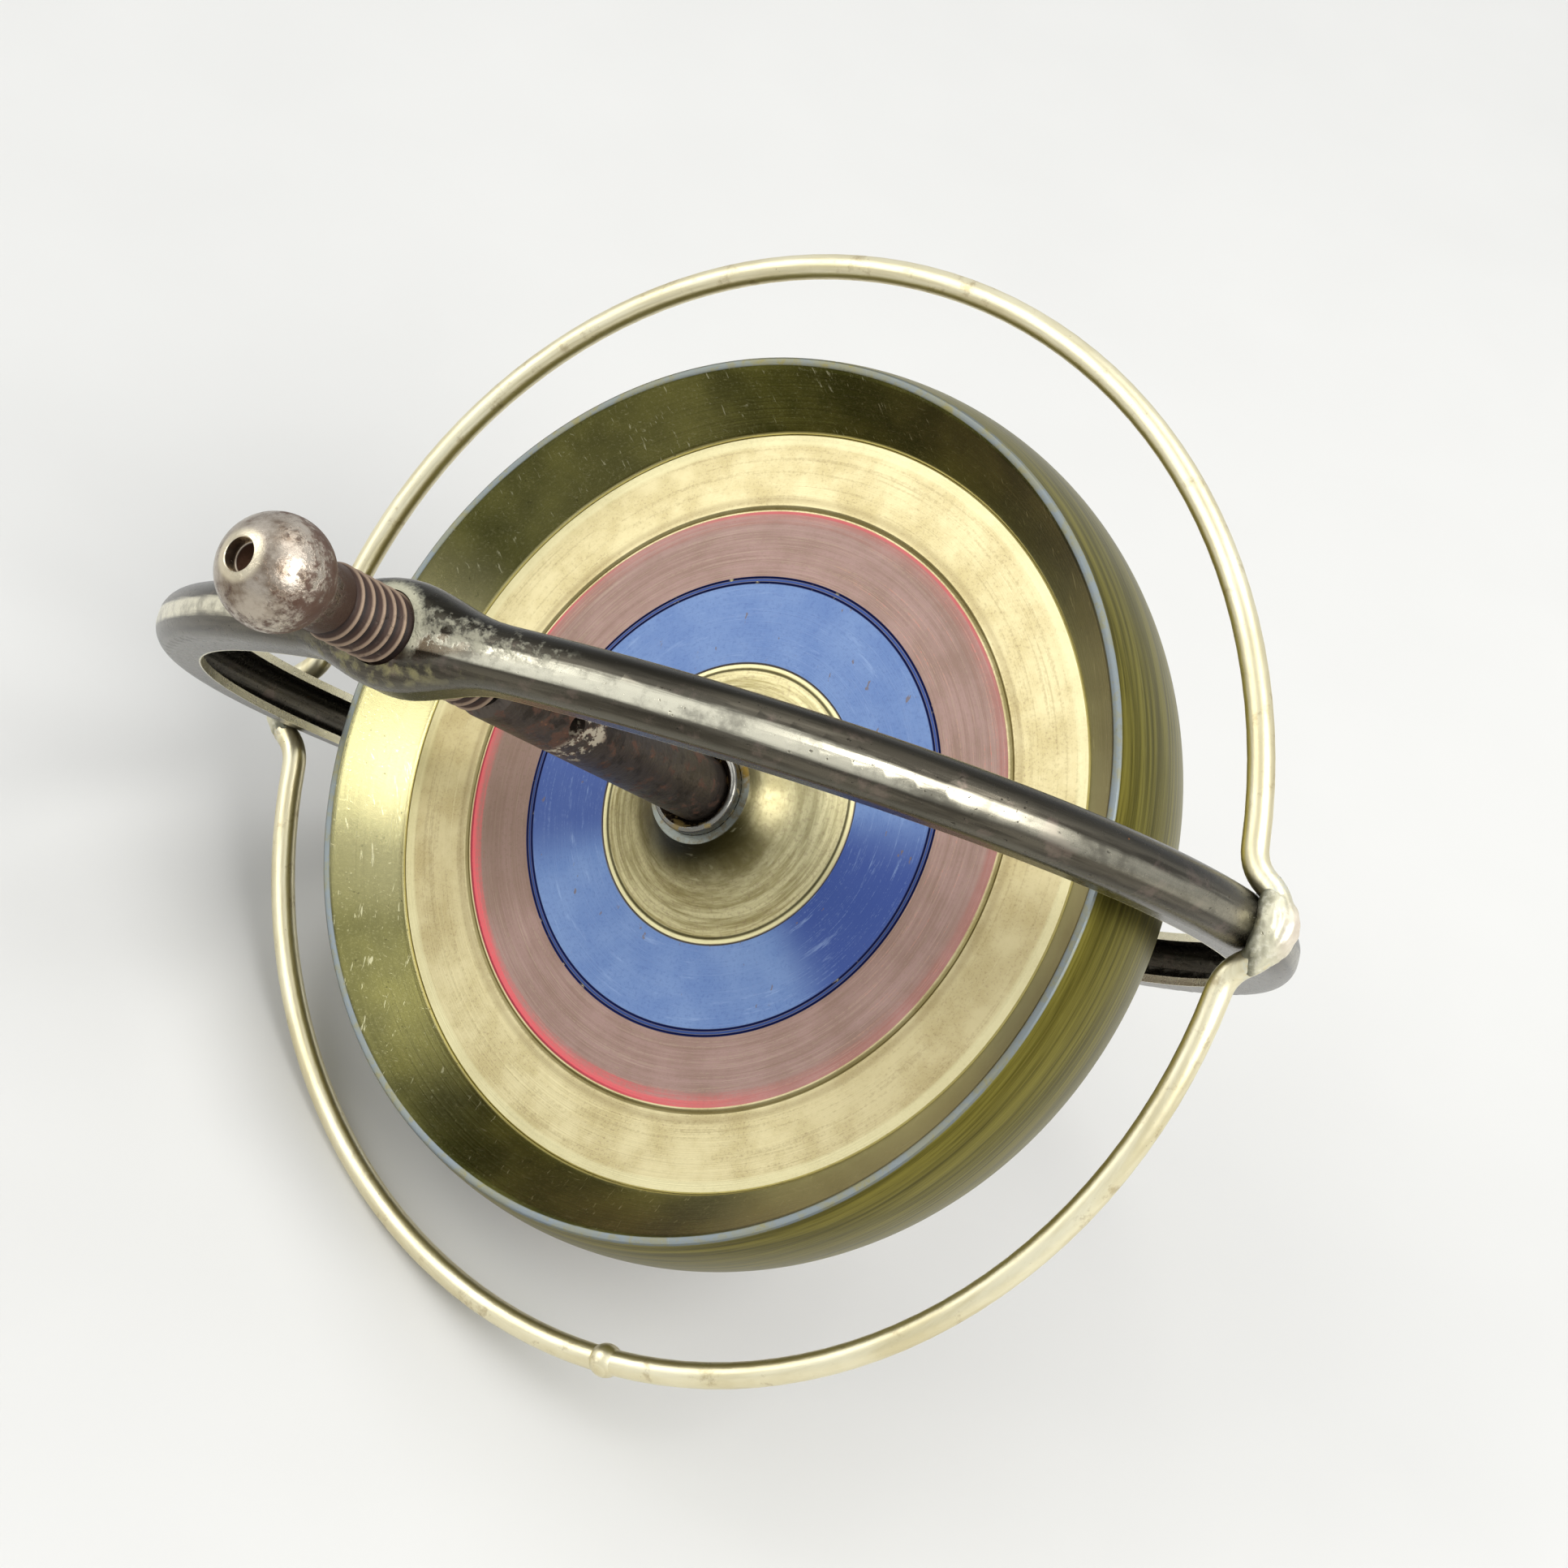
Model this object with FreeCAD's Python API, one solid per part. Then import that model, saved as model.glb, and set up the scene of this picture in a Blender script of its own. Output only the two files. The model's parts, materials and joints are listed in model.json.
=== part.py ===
import FreeCAD, Part
import math
import os

from FreeCAD import Placement, Vector

# A toy gyroscope that lies on a table, in millimetres and degrees.
# Everything is drawn about the frame ring's centre, with Z along the spindle towards the
# adjusting screw and X through the two soldered crossings. One placement then lays it down.

# wheel: a turned rim, two pressed discs and a hub tube
wheel_offset = -0.8
rim_edge_radius = 26.2
rim_bulge = 0.85
rim_thickness = 9.28
edge_land = 0.45
slope_width = 2.89
face_spacing = 1.6
disc_sheet = 0.5
tongue_height = 1.4
disc_clearance = 0.02
hub_wall = 0.8
hub_stand_out = 0.74
hub_mouth_widening = 0.5
hub_lip_fillet = 0.25
trumpet_foot_radius = 8.4
groove_radius = 18.2
groove_width = 0.3
groove_depth = 0.1

# spindle
spindle_radius = 1.95
shoulder_set_in = 5.1
shoulder_chamfer = 0.45
pivot_radius = 0.9
pivot_length = 1.6
upper_end_play = 0.25
lower_pivot_gap = 0.03
string_hole_radius = 0.62
string_hole_set_in = 6.3
string_hole_direction = -12.0

# frame ring: a strip pressed into a channel that is open towards the middle
wheel_clearance = 4.05
channel_width = 3.3
channel_depth = 3.0
ring_sheet = 0.5
channel_flat = 0.3
eye_length = 13.1
eye_sections = 9

# hoop: a round wire that lies outside the frame ring and humps over it at two places
hoop_set_in = 1.3
wire_diameter = 1.5
hoop_lean = 3.55
solder_gap = 0.1
hump_clearance = 0.1
hump_foot_radius = 2.5
weld_angle = 273.5
weld_flash = 0.25
solder_radius = 1.9
solder_rise = 0.35
solder_wrap = 0.75

# ball screw at the top and ball foot at the bottom
ball_radius = 2.83
screw_radius = 1.9
screw_exposure = 8.14
foot_neck = 4.2
cup_mouth_radius = 1.3
cup_depth = 1.3
dimple_radius = 0.83
dimple_depth = 0.9
drill_point_depth = 0.35
slot_width = 0.9
slot_depth = 1.1
slot_direction = -45.0

# tapped blocks that fill the two eyes of the frame ring
bush_wall = 0.4
bush_length = 6.5
bush_clearance = 0.05
thread_clearance = 0.05

# roughly how it lies, from which the exact resting attitude is solved
spindle_droop = 39.0
spindle_turn = 54.0

# what follows from the sizes above
rim_half = rim_thickness / 2
disc_face = face_spacing / 2
dish_radius = rim_edge_radius - edge_land - slope_width
hub_radius = spindle_radius + hub_wall
trumpet_rise = rim_half - disc_face - hub_stand_out
lip_radius = rim_edge_radius + rim_bulge + wheel_clearance
ring_radius = lip_radius + channel_depth
sheet_inside = ring_radius - ring_sheet
channel_shoulder = (channel_width - channel_flat) / 2
eye_half_angle = math.degrees(eye_length / 2 / ring_radius)
shoulder_height = lip_radius - shoulder_set_in
string_hole_height = shoulder_height - string_hole_set_in
wire_radius = wire_diameter / 2
hoop_radius = ring_radius - hoop_set_in
bush_half_angle = math.degrees(bush_length / 2 / ring_radius)
eye_half_width = screw_radius + bush_wall + bush_clearance + ring_sheet
tapped_radius = screw_radius + thread_clearance
screw_ball_height = ring_radius + screw_exposure
foot_ball_height = ring_radius + foot_neck

origin = Vector(0, 0, 0)
along_x = Vector(1, 0, 0)
along_y = Vector(0, 1, 0)
along_z = Vector(0, 0, 1)
overrun = 2.0
same_height = 0.001
diagonal = math.sin(math.radians(45))


def line(start, end):
    return Part.LineSegment(start, end).toShape()


def arc(start, middle, end):
    return Part.Arc(start, middle, end).toShape()


def chain(points):
    """Straight edges from each point to the next."""
    return [line(start, end) for start, end in zip(points, points[1:])]


def turned(edges):
    """Solid turned about Z from a closed outline that lies on one side of it."""
    face = Part.Face(Part.Wire(Part.__sortEdges__(edges)))
    return face.revolve(origin, along_z, 360)


def at_angle(shape, angle):
    """Copy of a shape carried round the Y axis, from the top of the frame ring."""
    moved = shape.copy()
    moved.rotate(origin, along_y, angle)
    return moved


def one_solid(shape):
    return shape.Solids[0]


def edges_at_height(shape, height):
    return [edge for edge in shape.Edges
            if abs(edge.BoundBox.ZMin - height) < same_height
            and abs(edge.BoundBox.ZMax - height) < same_height]


# ---- frame ring ----

def channel_section(half_width):
    """Channel section in the YZ plane, at the top of the ring."""
    flat = half_width - channel_shoulder
    bend_height = ring_radius - channel_shoulder

    def bend(side, radius):
        start = Vector(0, side * (flat + radius), bend_height)
        middle = Vector(0, side * (flat + radius * diagonal), bend_height + radius * diagonal)
        end = Vector(0, side * flat, bend_height + radius)
        return start, middle, end

    right_outside = bend(1, channel_shoulder)
    left_outside = bend(-1, channel_shoulder)
    right_inside = bend(1, channel_shoulder - ring_sheet)
    left_inside = bend(-1, channel_shoulder - ring_sheet)
    right_lip = Vector(0, half_width, lip_radius)
    right_lip_inside = Vector(0, half_width - ring_sheet, lip_radius)
    left_lip = Vector(0, -half_width, lip_radius)
    left_lip_inside = Vector(0, ring_sheet - half_width, lip_radius)
    return Part.Wire([
        line(right_lip, right_outside[0]),
        arc(*right_outside),
        line(right_outside[2], left_outside[2]),
        arc(*reversed(left_outside)),
        line(left_outside[0], left_lip),
        line(left_lip, left_lip_inside),
        line(left_lip_inside, left_inside[0]),
        arc(*left_inside),
        line(left_inside[2], right_inside[2]),
        arc(*reversed(right_inside)),
        line(right_inside[0], right_lip_inside),
        line(right_lip_inside, right_lip),
    ])


def swelled_half_width(angle):
    """Half the channel's width near an eye, swelling smoothly to the eye's middle."""
    plain = channel_width / 2
    swelling = math.cos(math.radians(90 * angle / eye_half_angle)) ** 2
    return plain + (eye_half_width - plain) * swelling


def eye_loft(section, half_angle):
    """Solid through a section that swells round the top of the ring, out to an angle each way."""
    sections = []
    for step in range(eye_sections):
        angle = half_angle * (2 * step / (eye_sections - 1) - 1)
        sections.append(at_angle(section(swelled_half_width(angle)), angle))
    return Part.makeLoft(sections, True, False)


def plain_side():
    """One half of the ring between the two eyes, at the constant section."""
    start = at_angle(Part.Face(channel_section(channel_width / 2)), eye_half_angle)
    return start.revolve(origin, along_y, 180 - 2 * eye_half_angle)


def make_frame_ring():
    top_eye = eye_loft(channel_section, eye_half_angle)
    right = plain_side()
    ring = top_eye.fuse([right, at_angle(top_eye, 180), at_angle(right, 180)])
    reach = ring_radius + overrun
    drill = Part.makeCylinder(tapped_radius, 2 * reach, Vector(0, 0, -reach))
    return one_solid(ring.cut(drill))


def hollow_section(half_width):
    """Section that seats on the strip and clears the channel's walls, in the YZ plane."""
    side = half_width - ring_sheet - bush_clearance
    top = sheet_inside
    rounding = channel_shoulder - ring_sheet - bush_clearance
    flat = side - rounding
    bend_height = top - rounding
    lean = rounding * diagonal
    right_bend = arc(Vector(0, side, bend_height), Vector(0, flat + lean, bend_height + lean),
                     Vector(0, flat, top))
    left_bend = arc(Vector(0, -flat, top), Vector(0, -flat - lean, bend_height + lean),
                    Vector(0, -side, bend_height))
    return Part.Wire([
        line(Vector(0, side, lip_radius), Vector(0, side, bend_height)),
        right_bend,
        line(Vector(0, flat, top), Vector(0, -flat, top)),
        left_bend,
        line(Vector(0, -side, bend_height), Vector(0, -side, lip_radius)),
        line(Vector(0, -side, lip_radius), Vector(0, side, lip_radius)),
    ])


def make_bush(bore_radius):
    """Tapped block that fills the upper eye's hollow."""
    block = eye_loft(hollow_section, bush_half_angle)
    return one_solid(block.cut(Part.makeCylinder(bore_radius, ring_radius)))


# ---- hoop ----

def hump_geometry():
    """Radius of the crown that carries the wire over the frame ring, its centre's place on the
    X axis, and the angle round the hoop at which the hump's foot begins."""
    crown_radius = channel_width / 2 + wire_radius + hump_clearance
    crown_x = ring_radius + solder_gap + wire_radius - crown_radius
    foot_reach = hoop_radius + hump_foot_radius
    between = crown_radius + hump_foot_radius
    cosine = (foot_reach ** 2 + crown_x ** 2 - between ** 2) / (2 * foot_reach * crown_x)
    return crown_radius, crown_x, math.acos(cosine)


def bent_wire(centre, start, sweep):
    """Round wire bent about a centre in the XY plane, from a start point."""
    tangent = along_z.cross(start.sub(centre))
    section = Part.Face(Part.Wire(Part.makeCircle(wire_radius, start, tangent)))
    return section.revolve(centre, along_z, sweep)


def round_the_hoop(radius, angle):
    return Vector(radius * math.cos(angle), radius * math.sin(angle), 0)


def make_hoop():
    """Wire hoop: at each end of the X axis a crown between two feet, and plain arcs between."""
    crown_radius, crown_x, foot_angle = hump_geometry()
    crown_centre = Vector(crown_x, 0, 0)
    foot_centre = round_the_hoop(hoop_radius + hump_foot_radius, foot_angle)
    leaving = round_the_hoop(hoop_radius, foot_angle)
    to_foot = foot_centre.sub(crown_centre).normalize()
    meeting = crown_centre.add(to_foot.multiply(crown_radius))
    crown_half = math.degrees(math.atan2(meeting.y, meeting.x - crown_x))
    foot_sweep = math.degrees(meeting.sub(foot_centre).getAngle(leaving.sub(foot_centre)))

    crown = bent_wire(crown_centre, Vector(meeting.x, -meeting.y, 0), 2 * crown_half)
    upper_foot = bent_wire(foot_centre, meeting, -foot_sweep)
    lower_foot = upper_foot.mirror(origin, along_y)
    plain = bent_wire(origin, leaving, 180 - 2 * math.degrees(foot_angle))
    half = [crown, upper_foot, lower_foot, plain]
    other_half = []
    for stretch in half:
        opposite = stretch.copy()
        opposite.rotate(origin, along_z, 180)
        other_half.append(opposite)
    hoop = crown.fuse(half[1:] + other_half + [make_weld()])
    hoop.rotate(origin, along_x, hoop_lean)
    return one_solid(hoop)


def make_weld():
    """Raised flash where the two ends of the hoop wire are butt welded."""
    return Part.makeSphere(wire_radius + weld_flash,
                           round_the_hoop(hoop_radius, math.radians(weld_angle)))


def make_right_solder():
    """Ball of solder that bonds the hoop's hump to the back of the channel."""
    top = ring_radius + solder_gap + wire_diameter + solder_rise
    ball = Part.makeSphere(solder_radius, Vector(top - solder_radius, 0, 0))
    clear_of_ball = 2 * solder_radius
    lowest = Part.makeCylinder(ring_radius - solder_wrap, 2 * clear_of_ball,
                               Vector(0, -clear_of_ball, 0), along_y)
    solder = ball.cut([lowest, channel_back(), hump_wire()])
    return max(solder.Solids, key=lambda piece: piece.Volume)


def channel_back():
    """The frame ring's outside form as a filled disc."""
    start = Vector(0, -channel_width / 2, 0)
    disc = Part.makeCylinder(ring_radius, channel_width, start, along_y)
    rims = [edge for edge in disc.Edges if edge.Closed]
    return disc.makeFillet(channel_shoulder, rims)


def hump_wire():
    """The wire over the right crossing, carried on to a full turn of its crown."""
    crown_radius, crown_x, _ = hump_geometry()
    wire = Part.makeTorus(crown_radius, wire_radius, Vector(crown_x, 0, 0), along_z)
    wire.rotate(origin, along_x, hoop_lean)
    return wire


# ---- ball screw and ball foot ----

def ball_ended_shank(ball_height, inner_end):
    """Ball on a round shank, with a drilled cup in the inner end for the spindle's pivot."""
    ball = Part.makeSphere(ball_radius, Vector(0, 0, ball_height))
    shank = Part.makeCylinder(screw_radius, ball_height - inner_end, Vector(0, 0, inner_end))
    cup = Part.makeCone(cup_mouth_radius, 0, cup_depth, Vector(0, 0, inner_end))
    return ball.fuse(shank).cut(cup)


def make_adjusting_screw():
    """Screw whose cup stands off the wheel's upper pivot by the end play."""
    upper_tip = wheel_offset + shoulder_height + pivot_length
    screw = ball_ended_shank(screw_ball_height, upper_tip + upper_end_play - cup_depth)
    floor = screw_ball_height + ball_radius - dimple_depth
    dimple = Part.makeCylinder(dimple_radius, 2 * dimple_depth, Vector(0, 0, floor))
    point = Part.makeCone(0, dimple_radius, drill_point_depth, Vector(0, 0, floor - drill_point_depth))
    return one_solid(screw.cut([dimple, point]))


def make_ball_foot():
    """Foot whose cup carries the wheel's lower pivot, with a slot that rides on a string."""
    lower_tip = shoulder_height + pivot_length - wheel_offset
    foot = ball_ended_shank(foot_ball_height, lower_tip + lower_pivot_gap - cup_depth)
    corner = Vector(-2 * ball_radius, -slot_width / 2, foot_ball_height + ball_radius - slot_depth)
    slot = Part.makeBox(4 * ball_radius, slot_width, 2 * slot_depth, corner)
    slot.rotate(origin, along_z, -slot_direction)
    return at_angle(one_solid(foot.cut(slot)), 180)


# ---- wheel and spindle, drawn about the wheel's own centre ----

def on_wheel(shape):
    shape.translate(Vector(0, 0, wheel_offset))
    return shape


def make_rim():
    """Heavy turned rim with a barrelled outside and a tongue that parts the two discs."""
    slope_top = rim_edge_radius - edge_land
    gap = disc_face - disc_sheet
    tongue = dish_radius - tongue_height
    edges = chain([
        Vector(rim_edge_radius, 0, -rim_half), Vector(slope_top, 0, -rim_half),
        Vector(dish_radius, 0, -disc_face), Vector(dish_radius, 0, -gap),
        Vector(tongue, 0, -gap), Vector(tongue, 0, gap),
        Vector(dish_radius, 0, gap), Vector(dish_radius, 0, disc_face),
        Vector(slope_top, 0, rim_half), Vector(rim_edge_radius, 0, rim_half),
    ])
    barrel = arc(Vector(rim_edge_radius, 0, rim_half), Vector(rim_edge_radius + rim_bulge, 0, 0),
                 Vector(rim_edge_radius, 0, -rim_half))
    return on_wheel(turned(edges + [barrel]))


def make_front_disc():
    """Pressed disc: a flat face with a fine groove, that rises in a trumpet to grip the hub."""
    back = disc_face - disc_sheet
    hole = hub_radius + disc_clearance
    neck = hole + disc_sheet
    edge = dish_radius - disc_clearance
    run = trumpet_foot_radius - neck
    bend = (run ** 2 + trumpet_rise ** 2) / (2 * trumpet_rise)

    def flare(radius, distance):
        rise = math.sqrt(radius ** 2 - (trumpet_foot_radius - distance) ** 2)
        return Vector(distance, 0, disc_face + bend - rise)

    middle = (neck + trumpet_foot_radius) / 2
    top = flare(bend, neck)
    under = flare(bend + disc_sheet, hole)
    foot = Vector(trumpet_foot_radius, 0, disc_face)
    foot_back = Vector(trumpet_foot_radius, 0, back)
    groove = [
        Vector(groove_radius - groove_width / 2, 0, disc_face),
        Vector(groove_radius, 0, disc_face - groove_depth),
        Vector(groove_radius + groove_width / 2, 0, disc_face),
    ]
    edges = chain([foot] + groove + [Vector(edge, 0, disc_face), Vector(edge, 0, back), foot_back])
    edges += chain([under, Vector(hole, 0, top.z), top])
    edges.append(arc(top, flare(bend, middle), foot))
    edges.append(arc(foot_back, flare(bend + disc_sheet, middle), under))
    return turned(edges)


def make_hub():
    """Steel tube through both discs, pressed on the spindle, with a widened mouth at each end."""
    bottom = Vector(0, 0, -rim_half)
    tube = Part.makeCylinder(hub_radius, rim_thickness, bottom)
    lips = edges_at_height(tube, rim_half) + edges_at_height(tube, -rim_half)
    tube = tube.makeFillet(hub_lip_fillet, lips)
    bore = Part.makeCylinder(spindle_radius, rim_thickness, bottom)
    mouth = Part.makeCone(spindle_radius, spindle_radius + hub_mouth_widening, hub_mouth_widening,
                          Vector(0, 0, rim_half - hub_mouth_widening))
    return on_wheel(one_solid(tube.cut([bore, mouth, at_angle(mouth, 180)])))


def make_spindle():
    """Turned spindle with a shoulder and a pointed pivot at each end, cross-drilled for a string."""
    end = [
        Vector(spindle_radius, 0, shoulder_height - shoulder_chamfer),
        Vector(spindle_radius - shoulder_chamfer, 0, shoulder_height),
        Vector(pivot_radius, 0, shoulder_height),
        Vector(0, 0, shoulder_height + pivot_length),
    ]
    other_end = [Vector(point.x, 0, -point.z) for point in reversed(end)]
    spindle = turned(chain(other_end + end + other_end[:1]))
    hole = Part.makeCylinder(string_hole_radius, 4 * spindle_radius,
                             Vector(-2 * spindle_radius, 0, string_hole_height), along_x)
    hole.rotate(origin, along_z, string_hole_direction)
    return on_wheel(one_solid(spindle.cut(hole)))


# ---- resting attitude ----

def reaches(down):
    """How far the foot, the hoop and the frame ring reach in a direction."""
    lean = math.radians(hoop_lean)
    hoop_axis = Vector(0, -math.sin(lean), math.cos(lean))
    foot = ball_radius - foot_ball_height * down.z
    hoop = hoop_radius * math.sqrt(1 - down.dot(hoop_axis) ** 2) + wire_radius
    ring = ((ring_radius - channel_shoulder) * math.sqrt(1 - down.y ** 2)
            + (channel_width / 2 - channel_shoulder) * abs(down.y) + channel_shoulder)
    return foot, hoop, ring


def table_direction(droop, turn):
    """The way down, from the spindle's droop under the table's plane and the turn about it."""
    sideways = math.cos(droop)
    return Vector(-sideways * math.cos(turn), -sideways * math.sin(turn), -math.sin(droop))


def mismatches(droop, turn):
    foot, hoop, ring = reaches(table_direction(droop, turn))
    return foot - hoop, hoop - ring


def resting_direction():
    """The way down when foot, hoop and frame ring all touch the table, by Newton's method."""
    droop = math.radians(spindle_droop)
    turn = math.radians(spindle_turn)
    nudge = 1e-6
    for _ in range(20):
        first, second = mismatches(droop, turn)
        first_droop, second_droop = mismatches(droop + nudge, turn)
        first_turn, second_turn = mismatches(droop, turn + nudge)
        first_by_droop = (first_droop - first) / nudge
        second_by_droop = (second_droop - second) / nudge
        first_by_turn = (first_turn - first) / nudge
        second_by_turn = (second_turn - second) / nudge
        determinant = first_by_droop * second_by_turn - first_by_turn * second_by_droop
        droop -= (second_by_turn * first - first_by_turn * second) / determinant
        turn -= (first_by_droop * second - second_by_droop * first) / determinant
    return table_direction(droop, turn)


def lying_placement(down):
    """Turns the gyroscope so that it lies on the XY plane, with its screw leaning towards -Y."""
    up = down.negative()
    level = along_z.sub(Vector(up).multiply(along_z.dot(up)))
    row_y = level.normalize().negative()
    row_x = row_y.cross(up)
    return Placement(FreeCAD.Matrix(
        row_x.x, row_x.y, row_x.z, 0,
        row_y.x, row_y.y, row_y.z, 0,
        up.x, up.y, up.z, 0,
        0, 0, 0, 1))


def build():
    solder = make_right_solder()
    disc = make_front_disc()
    return {
        "frame_ring": make_frame_ring(),
        "wire_hoop": make_hoop(),
        "solder_joint_right": solder,
        "solder_joint_left": solder.mirror(origin, along_x),
        "upper_bush": make_bush(tapped_radius),
        "lower_bush": at_angle(make_bush(screw_radius), 180),
        "adjusting_screw": make_adjusting_screw(),
        "ball_foot": make_ball_foot(),
        "wheel_rim": make_rim(),
        "front_disc": on_wheel(disc.copy()),
        "rear_disc": on_wheel(at_angle(disc, 180)),
        "hub_bush": make_hub(),
        "spindle": make_spindle(),
    }


def lay_down(pieces):
    """Lays every piece on the XY plane, with the box's bottom centre at the origin."""
    down = resting_direction()
    placement = lying_placement(down)
    laid = {}
    for name, shape in pieces.items():
        laid[name] = shape.transformed(placement.toMatrix(), True)
    box = Part.makeCompound(list(laid.values())).optimalBoundingBox(False, False)
    shift = Vector(-box.Center.x, -box.Center.y, reaches(down)[0])
    for shape in laid.values():
        shape.translate(shift)
    placement.Base = shift
    return laid, placement


def report_place(label, point, direction):
    """Prints where a point of the drawing frame lies on the table, and which way it faces."""
    facing = placement.Rotation.multVec(direction)
    print(label, tuple(placement.multVec(point)), "facing", tuple(facing))


os.makedirs("parts", exist_ok=True)
pieces, placement = lay_down(build())
for name, shape in pieces.items():
    shape.exportStep("parts/" + name + ".step")
    print(name, "valid", shape.isValid(), "solids", len(shape.Solids), "volume", round(shape.Volume, 2))

hole_turn = math.radians(string_hole_direction)
report_place("spindle at the centre", origin, along_z)
report_place("right crossing", Vector(ring_radius, 0, 0), along_x)
report_place("string hole", Vector(0, 0, wheel_offset + string_hole_height),
             Vector(math.cos(hole_turn), math.sin(hole_turn), 0))
report_place("dimple mouth", Vector(0, 0, screw_ball_height + ball_radius), along_z)
report_place("foot slot", Vector(0, 0, -foot_ball_height - ball_radius), along_z.negative())
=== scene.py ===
import bmesh
import bpy
import json
import math
from mathutils import Matrix, Vector, noise


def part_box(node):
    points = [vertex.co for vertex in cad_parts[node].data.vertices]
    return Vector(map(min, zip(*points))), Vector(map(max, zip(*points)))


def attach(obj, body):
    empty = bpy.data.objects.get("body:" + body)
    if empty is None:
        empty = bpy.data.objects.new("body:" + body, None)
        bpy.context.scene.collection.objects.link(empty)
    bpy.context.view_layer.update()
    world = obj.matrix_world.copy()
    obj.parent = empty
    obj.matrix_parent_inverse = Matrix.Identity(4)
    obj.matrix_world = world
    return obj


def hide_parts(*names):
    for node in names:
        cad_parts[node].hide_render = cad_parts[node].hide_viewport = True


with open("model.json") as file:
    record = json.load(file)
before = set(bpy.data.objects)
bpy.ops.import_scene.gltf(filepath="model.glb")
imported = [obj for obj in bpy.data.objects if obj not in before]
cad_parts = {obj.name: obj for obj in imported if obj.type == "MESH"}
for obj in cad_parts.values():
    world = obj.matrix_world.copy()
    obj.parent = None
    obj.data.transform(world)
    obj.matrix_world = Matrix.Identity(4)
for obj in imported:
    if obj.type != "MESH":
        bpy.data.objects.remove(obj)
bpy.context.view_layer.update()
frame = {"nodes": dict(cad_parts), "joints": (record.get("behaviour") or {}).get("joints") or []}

mm = 0.001
mergeWithin = 1e-4  # points closer than this, in millimetres, are one
offAxis = 0.0001  # keeps a radius away from nought in the shader
noiseMiddle = 0.5  # what the shader's noise is on average

# The gyroscope's own axes: z along the spindle to the adjusting screw, x through the right crossing.
spin = [joint for joint in frame["joints"] if joint["name"] == "rotor_spin"][0]
centre = Vector(spin["pos_m"])
spindleAxis = Vector(spin["axis"]).normalized()
crossingLow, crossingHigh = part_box("solder_joint_right")
towardCrossing = (crossingLow + crossingHigh) / 2 - centre
crossingAxis = (towardCrossing - spindleAxis * towardCrossing.dot(spindleAxis)).normalized()
hoopAxis = spindleAxis.cross(crossingAxis)
turnToTable = Matrix((crossingAxis, hoopAxis, spindleAxis)).transposed()
toTable = Matrix.Translation(centre) @ turnToTable.to_4x4() @ Matrix.Scale(mm, 4)


def rgb(red, green, blue):  # screen colour 0 to 255, as the shader's linear colour
    linear = []
    for part in (red, green, blue):
        share = part / 255
        linear.append(share / 12.92 if share <= 0.04045 else ((share + 0.055) / 1.055) ** 2.4)
    return (*linear, 1.0)


class Signal:  # one socket, so that shader maths reads as plain expressions
    def __init__(self, finish, socket):
        self.finish = finish
        self.socket = socket

    def maths(self, operation, first, second=0.0):
        return self.finish.node("ShaderNodeMath", {"operation": operation}, {0: first, 1: second})

    def __add__(self, other):
        return self.maths("ADD", self, other)

    def __radd__(self, other):
        return self.maths("ADD", other, self)

    def __sub__(self, other):
        return self.maths("SUBTRACT", self, other)

    def __rsub__(self, other):
        return self.maths("SUBTRACT", other, self)

    def __mul__(self, other):
        return self.maths("MULTIPLY", self, other)

    def __rmul__(self, other):
        return self.maths("MULTIPLY", other, self)

    def __truediv__(self, other):
        return self.maths("DIVIDE", self, other)

    def __rtruediv__(self, other):
        return self.maths("DIVIDE", other, self)

    def root(self):
        return self.maths("SQRT", self)


def blend(first, share, second):  # a share of the first signal, and the rest of the second
    return first * share + second * (1 - share)


def swing(signal, width):  # noise moved down so that it swings about nought
    return (signal - noiseMiddle) * width


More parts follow.
